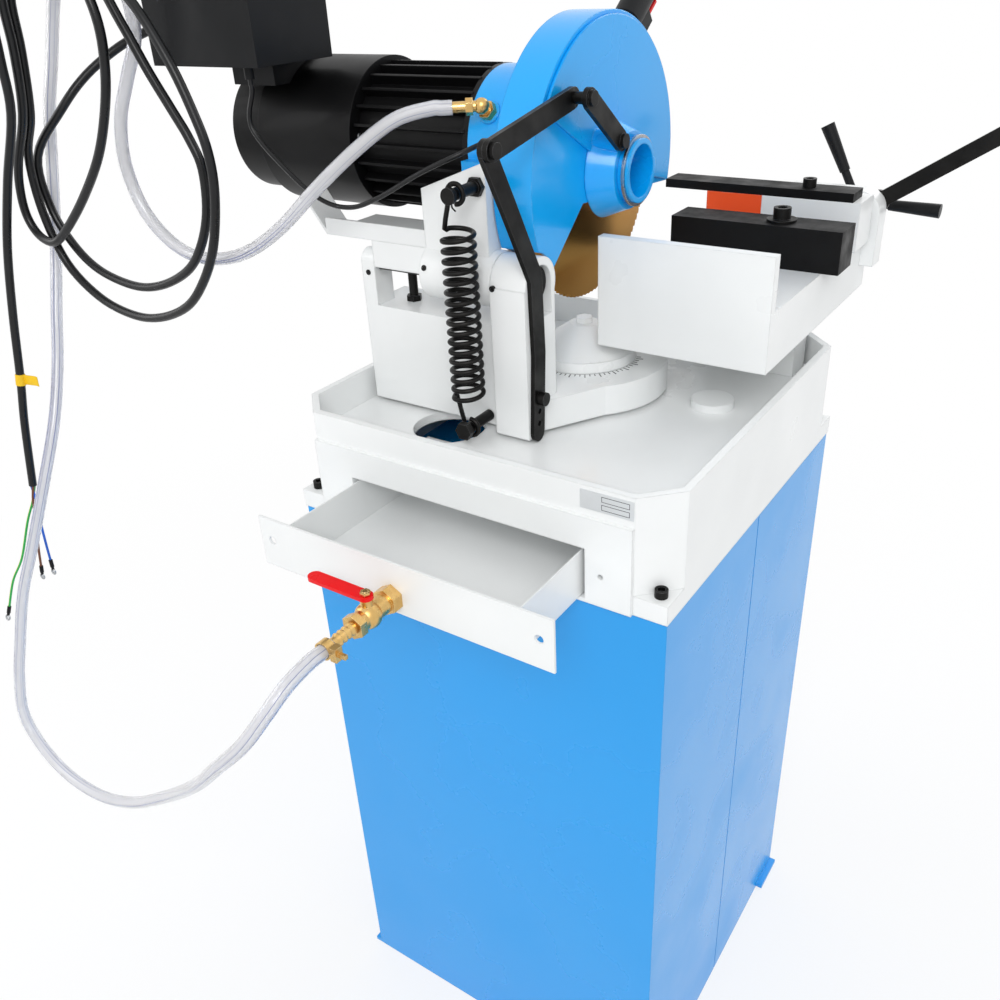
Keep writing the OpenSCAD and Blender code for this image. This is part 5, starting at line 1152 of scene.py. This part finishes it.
@dataclass
class PowerCable:
    """The black power cable: three loops over the hook and a tail that ends in three wires with lugs."""

    radius: float = 5 * MM
    sides: int = 16
    steps: int = 6
    gland_end: Point = (-0.4625, -0.0899553, 1.26246)
    # How far the cable leaves its gland straight, in radii.
    straight: float = 2.5
    hook_x: float = -0.4905
    over_z: float = 1.35246
    planes: tuple[float, ...] = (-0.203955, -0.216955, -0.229955, -0.242955)
    lead_shares: tuple[Point, ...] = (
        (-1.11, -0.21, 1.065), (-1.185, -0.26, 1.03), (-1.245, -0.335, 0.97), (-1.29, -0.4, 0.895))
    loop_shares: tuple[tuple[Pair, ...], ...] = (
        ((-1.365, 0.785), (-1.37, 0.655), (-1.31, 0.56), (-1.22, 0.5), (-1.085, 0.475), (-0.97, 0.49),
         (-0.855, 0.54), (-0.785, 0.605), (-0.735, 0.695), (-0.72, 0.795), (-0.745, 0.86), (-0.785, 0.92),
         (-0.84, 1.0), (-0.9, 1.1), (-0.98, 1.22)),
        ((-1.19, 1.24), (-1.25, 1.16), (-1.265, 1.04), (-1.3, 0.895), (-1.36, 0.79), (-1.365, 0.645),
         (-1.315, 0.515), (-1.205, 0.435), (-1.075, 0.405), (-0.96, 0.415), (-0.845, 0.46), (-0.765, 0.53),
         (-0.7, 0.625), (-0.66, 0.745), (-0.655, 0.84), (-0.68, 0.925), (-0.73, 1.03), (-0.82, 1.15),
         (-0.95, 1.235)),
        ((-1.19, 1.24), (-1.24, 1.16), (-1.25, 1.04), (-1.285, 0.9), (-1.365, 0.78), (-1.395, 0.7),
         (-1.395, 0.635), (-1.36, 0.59), (-1.3, 0.58), (-1.23, 0.62), (-1.125, 0.705), (-1.025, 0.805),
         (-0.96, 0.9), (-0.915, 1.0), (-0.9, 1.1), (-0.93, 1.19), (-1.0, 1.255)))
    tail_shares: tuple[Point, ...] = (
        (-1.19, -0.54, 1.24), (-1.24, -0.545, 1.16), (-1.25, -0.55, 1.03), (-1.27, -0.55, 0.905),
        (-1.345, -0.565, 0.745), (-1.385, -0.595, 0.58), (-1.385, -0.635, 0.41), (-1.385, -0.67, 0.23),
        (-1.4, -0.69, 0.1), (-1.415, -0.715, -0.09))
    # The points of the tail between which it turns from the head to the arm.
    tail_bends: tuple[int, int] = (2, 7)
    # How many points from the tail's end its tag is.
    tag_back: int = 2
    wire_shares: tuple[tuple[Point, ...], ...] = (
        ((-1.425, -0.725, -0.14), (-1.455, -0.745, -0.21), (-1.49, -0.78, -0.33), (-1.53, -0.81, -0.41),
         (-1.55, -0.84, -0.5)),
        ((-1.405, -0.725, -0.14), (-1.4, -0.735, -0.2), (-1.39, -0.745, -0.27), (-1.385, -0.75, -0.325)),
        ((-1.415, -0.73, -0.14), (-1.425, -0.735, -0.21), (-1.44, -0.745, -0.29), (-1.455, -0.75, -0.37)))
    wire_names: tuple[str, ...] = ("earth", "neutral", "live")
    wire_finishes: tuple[Finish, ...] = (Shop.earth, Shop.neutral, Shop.live)
    wire_radius: float = 1.6 * MM
    wire_sides: int = 12
    wire_steps: int = 8
    # Where the first wire leaves the jacket and how far round the next is, in degrees.
    wire_turn: Pair = (90.0, 120.0)
    # How far from the cable's middle the wires leave it, in radii.
    wire_spread: float = 0.5

    def points(self) -> list[Point]:
        """Works out the route from the gland through the loops to the hook's top.

        Returns:
            The route's points in metres.
        """
        x, y, z = self.gland_end
        points = [(x, y, z), (x - self.straight * self.radius, y, z)] + route(self.lead_shares)
        for loop, plane, following in zip(self.loop_shares, self.planes, self.planes[1:]):
            points += [(x * TRAY, plane, STAND_TOP + z * TRAY) for x, z in loop]
            points.append((self.hook_x, (plane + following) / 2, self.over_z))
        return points

    def build_wires(self, end: Vector) -> None:
        """Args:
            end: The end of the cable's jacket.
        """
        wires = zip(self.wire_names, self.wire_finishes, self.wire_shares)
        for k, (core, finish, shares) in enumerate(wires):
            turn = math.radians(self.wire_turn[0] + self.wire_turn[1] * k)
            start = end + Vector((math.cos(turn), math.sin(turn), 0.0)) * self.radius * self.wire_spread
            path = smooth_path([tuple(start)] + route(shares), self.wire_steps)
            wire = tube_piece(core + "_wire", rings_along(path), self.wire_radius, self.wire_sides, finish)
            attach(wire, "arm_unit")
            lug = RingLug().build(core + "_lug", path[-1], (path[-1] - path[-3]).normalized())
            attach(lug, "arm_unit")
            LOG.info("%s_wire: %.0f mm", core, length_of(path) / MM)

    def build(self) -> None:
        points = self.points()
        whole = smooth_path(points + route(self.tail_shares), self.steps)
        over = (len(points) - 1) * self.steps
        coil, line = whole[:over + 1], whole[over:]
        cable = tube_piece("power_cable_coil", rings_along(coil), self.radius, self.sides, Shop.jacket)
        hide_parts("cable_coil")
        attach(cable, "head_unit")
        relief = StrainRelief().build(Vector(self.gland_end))
        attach(relief, "head_unit")
        LOG.info("power_cable_coil: %.0f mm of cable", length_of(coil) / MM)
        tail = tube_piece("power_cable_tail", rings_along(line), self.radius, self.sides, Shop.jacket)
        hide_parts("cable_tail")
        middle = len(line) - 1 - self.tag_back * self.steps
        way = (line[middle + 1] - line[middle - 1]).normalized()
        tag = CableTag().build(line[middle], way, self.radius)
        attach(tag, "arm_unit")
        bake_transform(tail)
        LOG.info("power_cable_tail: %.0f mm of cable", length_of(line) / MM)
        self.build_wires(line[-1])


@dataclass
class SwitchCable:
    """The thin black cable from the switch box to the gear case."""

    radius: float = 2.5 * MM
    sides: int = 14
    steps: int = 8
    # The points of the cable's straight ends, in radii from the box and from the case.
    start_straight: Point = (0.0, 2.0, 5.0)
    end_straight: float = 3.0
    start: Point = (-0.3145, -0.12846, 1.21496)
    end: Point = (-0.0505, -0.07283, 1.15881)
    end_way: Point = (0.0, -0.984808, 0.173648)
    shares: tuple[Point, ...] = (
        (-0.715, -0.29, 0.86), (-0.62, -0.29, 0.77), (-0.52, -0.29, 0.71), (-0.43, -0.29, 0.7),
        (-0.34, -0.29, 0.73), (-0.22, -0.29, 0.79), (-0.13, -0.26, 0.83))

    def build(self) -> None:
        x, y, z = self.start
        first = [(x, y, z - s * self.radius) for s in self.start_straight]
        last = [tuple(Vector(self.end) + Vector(self.end_way) * self.end_straight * self.radius), self.end]
        line = smooth_path(first + route(self.shares) + last, self.steps)
        cable = tube_piece("switch_lead", rings_along(line), self.radius, self.sides, Shop.jacket)
        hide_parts("switch_cable")
        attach(cable, "head_unit")
        LOG.info("switch_lead: %.0f mm of cable", length_of(line) / MM)


@dataclass
class ReturnSpring:
    """The long tension spring that lifts the head: an eye, seventeen curls and an eye."""

    centre: Pair = (-0.0475, -0.143)
    low_z: float = 0.882
    high_z: float = 1.123
    curl_radius: float = 15.5 * MM
    wire_radius: float = 2.5 * MM
    pitch: float = 10.2 * MM
    curls: int = 17
    steps: int = 16
    smoothing: int = 2
    sides: int = 12
    eye_radius: float = 9.4 * MM
    # The angles in degrees at which the lower and the upper eye begin and end.
    low_eye: Pair = (450.0, 150.0)
    high_eye: Pair = (210.0, -90.0)
    # How far aside of its pin, and how far past it, an eye runs on to the curls, in eye radii.
    neck: Pair = (1.15, 1.6)
    # How far from either pin the spring begins to stretch.
    eye_room: float = 20 * MM

    def eye(self, z: float, begin: float, end: float) -> list[Point]:
        """Gives the points of one hooked eye round a pin.

        Args:
            z: The pin's height.
            begin: The angle it begins at, in degrees.
            end: The angle it ends at.

        Returns:
            The points.
        """
        x, y = self.centre
        angles = [math.radians(begin + (end - begin) * k / self.steps) for k in range(self.steps + 1)]
        return [(x + self.eye_radius * math.cos(a), y, z + self.eye_radius * math.sin(a)) for a in angles]

    def build(self) -> None:
        """Builds the spring in place between the arm and the head."""
        x, y = self.centre
        low = (self.low_z + self.high_z) / 2 - self.curls * self.pitch / 2
        turns = [2.0 * math.pi * k / self.steps for k in range(self.curls * self.steps + 1)]
        curl = [(x - self.curl_radius * math.cos(a), y - self.curl_radius * math.sin(a),
                 low + self.pitch * a / (2.0 * math.pi)) for a in turns]
        aside, past = (share * self.eye_radius for share in self.neck)
        points = (self.eye(self.low_z, *self.low_eye) + [(x - aside, y, self.low_z + past)] + curl
                  + [(x - aside, y, self.high_z - past)] + self.eye(self.high_z, *self.high_eye))
        rings = rings_along(smooth_path(points, self.smoothing))
        spring = tube_piece("tension_spring", rings, self.wire_radius, self.sides, Shop.black)
        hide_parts("return_spring")
        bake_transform(spring)
        LOG.info("tension_spring: %d curls", self.curls)


@dataclass(frozen=True)
class Screw:
    """A small screw with a recess in its head.

    Attributes:
        radius: The head's radius in metres.
        height: The head's height.
        proud: How far the head stands out of the work.
        rounding: The rounding of its edges, or nought.
        rim: The width of the rim round the recess.
        recess: The depth of the recess.
        finish: Its finish.
        sides: How many sides it has.
    """

    radius: float
    height: float
    proud: float
    rounding: float
    rim: float
    recess: float
    finish: Finish
    sides: int = 24

    def build(self, name: str, place: Point, way: Vector, body: str) -> None:
        """Builds the screw and lets it ride.

        Args:
            name: The piece's name.
            place: Where it meets the work.
            way: The way that its head looks.
            body: The body that it rides on.
        """
        way = way.normalized()
        middle = Vector(place) + way * (self.proud - self.height / 2)
        head = drum(middle, way, self.radius, self.height, self.sides)
        if self.rounding:
            bevel_piece(head, self.rounding, ROUNDING_STEPS)
        sink_face(head, way, self.rim, self.recess)
        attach(settle(head, name, self.finish), body)
        LOG.info("%s on %s", name, body)


@dataclass
class ArmFittings:
    """Small screws and marks on the swivel arm, the rocker and the motor."""

    set_screw: Screw = Screw(3 * MM, 3 * MM, 0.9 * MM, 0.0, 1.26 * MM, 0.6 * MM, Shop.black)
    pan_screw: Screw = Screw(3.4 * MM, 2 * MM, 2 * MM, 0.8 * MM, 1.5 * MM, 0.8 * MM, Shop.steel)
    set_screws: tuple[tuple[str, Point, Point, str], ...] = (
        ("arm_set_screw_left", (-0.1995, -0.108, 1.02), Way.REAR.value, "arm_unit"),
        ("arm_set_screw_right", (-0.0244, -0.124, 1.0295), Way.REAR.value, "arm_unit"),
        ("rocker_set_screw", (-0.1102, -0.12145, 1.03925), (0.0, -0.942, 0.337), "head_unit"))
    hub: Point = (-0.0135, 0.04, 0.9056)
    tick_size: Point = (4.5 * MM, 0.9 * MM, 0.3 * MM)
    tick_inner: float = 61 * MM
    tick_step_deg: float = 5.0
    tick_first_deg: float = -120.0
    tick_count: int = 29
    # The rim and rise of a mark's top, how many times longer a long mark is, and how often one comes.
    tick_top: Pair = (0.1 * MM, 0.05 * MM)
    long_tick: float = 1.8
    long_every: int = 3
    motor_axis: Pair = (0.00005, 1.14596)
    cowl_face_x: float = -0.2305
    cowl_screw_reach: float = 64.8 * MM
    cowl_screw_turns: tuple[float, ...] = (174.0, 264.0, 354.0)
    pin_end: Point = (-0.0475, -0.1505, 1.123)
    pin_wire: float = 0.8 * MM
    pin_sides: int = 10
    pin_steps: int = 5
    # The split pin's bends, right of and above the end of the pin that it goes through.
    pin_bends_mm: tuple[Pair, ...] = (
        (-1.6, 9.5), (0.0, 11.5), (1.6, 9.5), (0.8, 6.0), (0.8, -9.0), (2.4, -12.0), (5.0, -14.0))

    def build_scale(self) -> None:
        """Builds the swivel's scale, fine dark marks on the arm round its cap."""
        middle = (self.tick_inner + self.tick_size[0] / 2, 0.0, 0.0)
        deselect()
        bpy.ops.mesh.primitive_cube_add(size=1.0, location=middle)
        first = bpy.context.object
        first.scale = self.tick_size
        apply_place()
        select_facing(first, Way.UP.vector)
        rim, rise = self.tick_top
        bpy.ops.mesh.inset(thickness=rim, depth=rise)
        bpy.ops.object.mode_set(mode="OBJECT")
        inner = Matrix.Translation((self.tick_inner, 0.0, 0.0))
        marks: list[Piece] = []
        for k in range(self.tick_count):
            copy = first.copy()
            copy.data = first.data.copy()
            longer = self.long_tick if k % self.long_every == 0 else 1.0
            turn = math.radians(self.tick_first_deg + self.tick_step_deg * k)
            stretch = inner @ Matrix.Diagonal((longer, 1.0, 1.0, 1.0)) @ inner.inverted()
            copy.data.transform(Matrix.Translation(self.hub) @ Matrix.Rotation(turn, 4, "Z") @ stretch)
            bpy.context.scene.collection.objects.link(copy)
            marks.append(copy)
        bpy.data.objects.remove(first, do_unlink=True)
        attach(settle(join_pieces(marks), "swivel_scale", Shop.ink), "arm_unit")
        LOG.info("swivel_scale: %d marks", self.tick_count)

    def build_split_pin(self) -> None:
        """Builds the split pin that keeps the spring on its upper pin."""
        x, y, z = self.pin_end
        bends = [(x + right * MM, y, z + up * MM) for right, up in self.pin_bends_mm]
        rings = rings_along(smooth_path(bends, self.pin_steps))
        pin = tube_piece("split_pin", rings, self.pin_wire, self.pin_sides, Shop.black)
        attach(pin, "head_unit")
        LOG.info("split_pin on head_unit")

    def build(self) -> None:
        """Builds the arm's and rocker's set screws, the scale, the split pin and the cowl's screws."""
        for name, place, way, body in self.set_screws:
            self.set_screw.build(name, place, Vector(way), body)
        self.build_scale()
        self.build_split_pin()
        y, z = self.motor_axis
        for k, turn in enumerate(map(math.radians, self.cowl_screw_turns)):
            place = (self.cowl_face_x, y + self.cowl_screw_reach * math.cos(turn),
                     z + self.cowl_screw_reach * math.sin(turn))
            self.pan_screw.build(f"cowl_screw_{k + 1}", place, Way.RIGHT.vector, "head_unit")


@dataclass
class TrayPlate:
    """The bare plate on the tray: two empty ruled fields and nothing written."""

    middle_x: float = 0.1712
    face_y: float = -0.2308
    first_z: float = 0.8862
    pitch: float = 8.2 * MM
    field_count: int = 2
    field_size: Pair = (28 * MM, 5.6 * MM)
    line: float = 0.5 * MM
    proud: float = 0.1 * MM

    def build(self) -> None:
        """Builds the two ruled fields."""
        frames: list[Piece] = []
        for k in range(self.field_count):
            deselect()
            place = (self.middle_x, self.face_y - self.proud, self.first_z + self.pitch * k)
            bpy.ops.mesh.primitive_plane_add(size=1.0, location=place, rotation=turn_to(Way.REAR.vector))
            ruled = bpy.context.object
            ruled.scale = (*self.field_size, 1.0)
            apply_place()
            select_facing(ruled, Way.REAR.vector)
            bpy.ops.mesh.inset(thickness=self.line, depth=0.0)
            bpy.ops.mesh.delete(type="FACE")
            bpy.ops.mesh.select_all(action="SELECT")
            bpy.ops.mesh.extrude_region_move(TRANSFORM_OT_translate={"value": (0.0, 2 * self.proud, 0.0)})
            bpy.ops.mesh.select_all(action="SELECT")
            bpy.ops.mesh.normals_make_consistent(inside=False)
            bpy.ops.object.mode_set(mode="OBJECT")
            frames.append(ruled)
        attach(settle(join_pieces(frames), "plate_fields", Shop.ink), "base")
        LOG.info("plate_fields: two empty fields")


@dataclass
class Castings:
    """The solids that keep their shape, by their finish."""

    finishes: tuple[tuple[Finish, tuple[str, ...]], ...] = (
        (Shop.blue, ("stand_rear", "stand_front", "stand_door")),
        # The head and guard take the same blue painted lighter, as painted light.
        (Shop.cast_blue_painted_lighter, ("head_case", "moving_guard")),
        (Shop.white, ("drawer", "motor_shelf")),
        (Shop.cast_white, ("base_tray", "swivel_cap", "vise_bed", "vise_slide", "swivel_arm", "rocker")),
        (Shop.black, ("door_latch", "tray_screws", "fixed_jaw_screw", "moving_jaw_screw", "clamp_lever",
                      "pivot_shaft", "stop_screw", "arm_bolts", "guard_strap", "swivel_lock", "spring_pin",
                      "guard_lever", "guard_link")),
        (Shop.jaw, ("fixed_jaw", "moving_jaw")),
        (Shop.steel, ("swivel_post", "lead_screw", "retaining_ring", "spindle_bearings", "head_handle",
                      "spindle", "blade_flange", "rotor", "hose_hook")),
        (Shop.brass, ("drain_valve", "hose_clamp", "coolant_fitting")),
        (Shop.blade, ("saw_blade",)),
        (Shop.motor, ("motor_body", "fan_cowl")),
        (Shop.plastic, ("crank", "handle_grip", "cooling_fan", "control_box", "cable_gland")),
        (Shop.red, ("valve_lever", "trigger", "stop_button")),
        (Shop.green, ("start_button",)),
        (Shop.orange, ("jaw_liner",)),
        (Shop.foil, ("data_plate",)))

    def dress(self) -> None:
        """Gives each solid its finish."""
        for finish, names in self.finishes:
            for name in names:
                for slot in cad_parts[name].material_slots:
                    slot.material = finish.make()
                LOG.info("%s: %s", name, finish.name)


def main() -> None:
    """Builds the camera and cords, then the rest, and reports each piece."""
    logging.basicConfig(level=logging.INFO, format="%(name)s: %(message)s")
    studio = Studio()
    studio.build_camera()
    CoolantHose().build()
    PowerCable().build()
    SwitchCable().build()
    ReturnSpring().build()
    ArmFittings().build()
    TrayPlate().build()
    Castings().dress()
    studio.build_floor()
    studio.build_light()
    studio.build_view()


if __name__ == "__main__":
    main()
